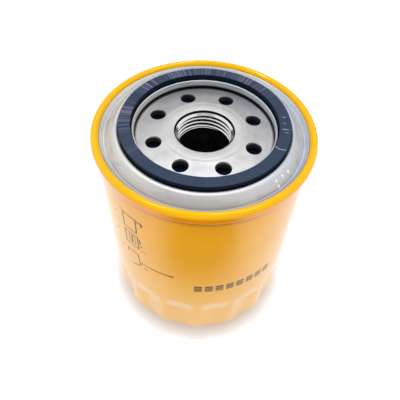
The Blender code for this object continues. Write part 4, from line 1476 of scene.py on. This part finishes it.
# %% The lamps
def soft_lamp(name, place_at, aim_at, size, watts):
    """A rectangular area lamp that looks at a point."""
    deselect()
    place_at, aim_at = Vector(place_at), Vector(aim_at)
    turn = (aim_at - place_at).to_track_quat("-Z", "Y").to_euler()
    bpy.ops.object.light_add(type="AREA", location=place_at, rotation=turn)
    lamp = bpy.context.object
    lamp.name = lamp.data.name = name
    lamp.data.shape = "RECTANGLE"
    lamp.data.size, lamp.data.size_y = size
    lamp.data.energy = watts
    return lamp


LAMP_SIZE, LAMP_WATTS = (0.5, 0.08), 1.9
target = (0, 0, 0.08)
soft_lamp("overhead_left", (-0.28, 0.22, 1.05), target, LAMP_SIZE, LAMP_WATTS)
soft_lamp("overhead_right", (0.2, 0.26, 1.05), target, LAMP_SIZE, LAMP_WATTS)

# %% [markdown]
# Bright metal and paint in an all-white room have no shape, so a studio sets up grey cards that only the reflections
# meet. One stands low behind the filter, one hangs over the camera, and a dark mat lies before the can, which keeps
# the middle of the paint deep while its sides stay pale. The mat fades towards its edges.


# %% The grey cards
def grey_card(name, stand_at, size, grey, facing=target, fade=0.01):
    """A card that only reflections see. It faces a point, and within `fade` of its edge it turns white."""
    deselect()
    turn = (Vector(facing) - Vector(stand_at)).to_track_quat("Z", "Y").to_euler()
    bpy.ops.mesh.primitive_plane_add(size=1, location=stand_at, rotation=turn)
    card = bpy.context.object
    card.name = name
    card.scale = (*size, 1)
    bpy.ops.object.transform_apply(location=True, rotation=True, scale=True)
    made = bpy.data.materials.new(name)
    made.use_nodes = True
    made.node_tree.nodes.remove(made.node_tree.nodes["Principled BSDF"])
    tree = made.node_tree
    label = Flow(tree, tree.nodes.new("ShaderNodeTexCoord").outputs["UV"])
    across, along = (label.node("SeparateXYZ", {}, {0: label}, out=axis) for axis in (0, 1))
    inside = (0.5 - abs(across - 0.5)).between(0, fade / size[0])
    inside = inside * (0.5 - abs(along - 0.5)).between(0, fade / size[1])
    colours = {6: (1, 1, 1, 1), 7: (grey, grey, grey * 1.04, 1)}
    shade = inside.node("Mix", {"data_type": "RGBA"}, {0: inside, **colours}, out=2)
    glow = inside.node("Emission", {}, {"Color": shade})
    tree.links.new(glow.socket, tree.nodes["Material Output"].inputs["Surface"])
    card.data.materials.append(made)
    card.visible_camera = card.visible_diffuse = card.visible_shadow = card.visible_transmission = False
    return card


grey_card("back_card", (0, 1.3, 0.48), (3.4, 0.98), 0.1)
grey_card("front_card", (0, -0.5, 0.72), (0.7, 0.5), 0.6)
grey_card("dark_mat", (0.005, -0.145, 0.001), (0.15, 0.17), 0.03, facing=(0.005, -0.145, 1), fade=0.035)

# %% [markdown]
# ## The camera
#
# The camera looks down at the open end from in front, at a little over fifty degrees. It is about 190 mm from
# the seam, so the near side of the seam looks larger than the far side.

# %% The camera
CAMERA_DROP, CAMERA_ROLL = 51.765, 2.953
LENS, SENSOR = 39.68, 36
EYE = (-0.44, -140.74, SEAM_TOP + 127.51)
tilt = Matrix.Rotation(math.radians(90 - CAMERA_DROP), 4, "X")
pose = tilt @ Matrix.Rotation(math.radians(CAMERA_ROLL), 4, "Z")
eye = Vector(EYE) * MM
deselect()
bpy.ops.object.camera_add(location=eye, rotation=pose.to_euler())
camera = bpy.context.object
camera.data.lens = LENS
camera.data.sensor_width = SENSOR
camera.data.clip_start = 0.01
bpy.context.scene.camera = camera
bpy.context.scene.view_settings.view_transform = "Standard"
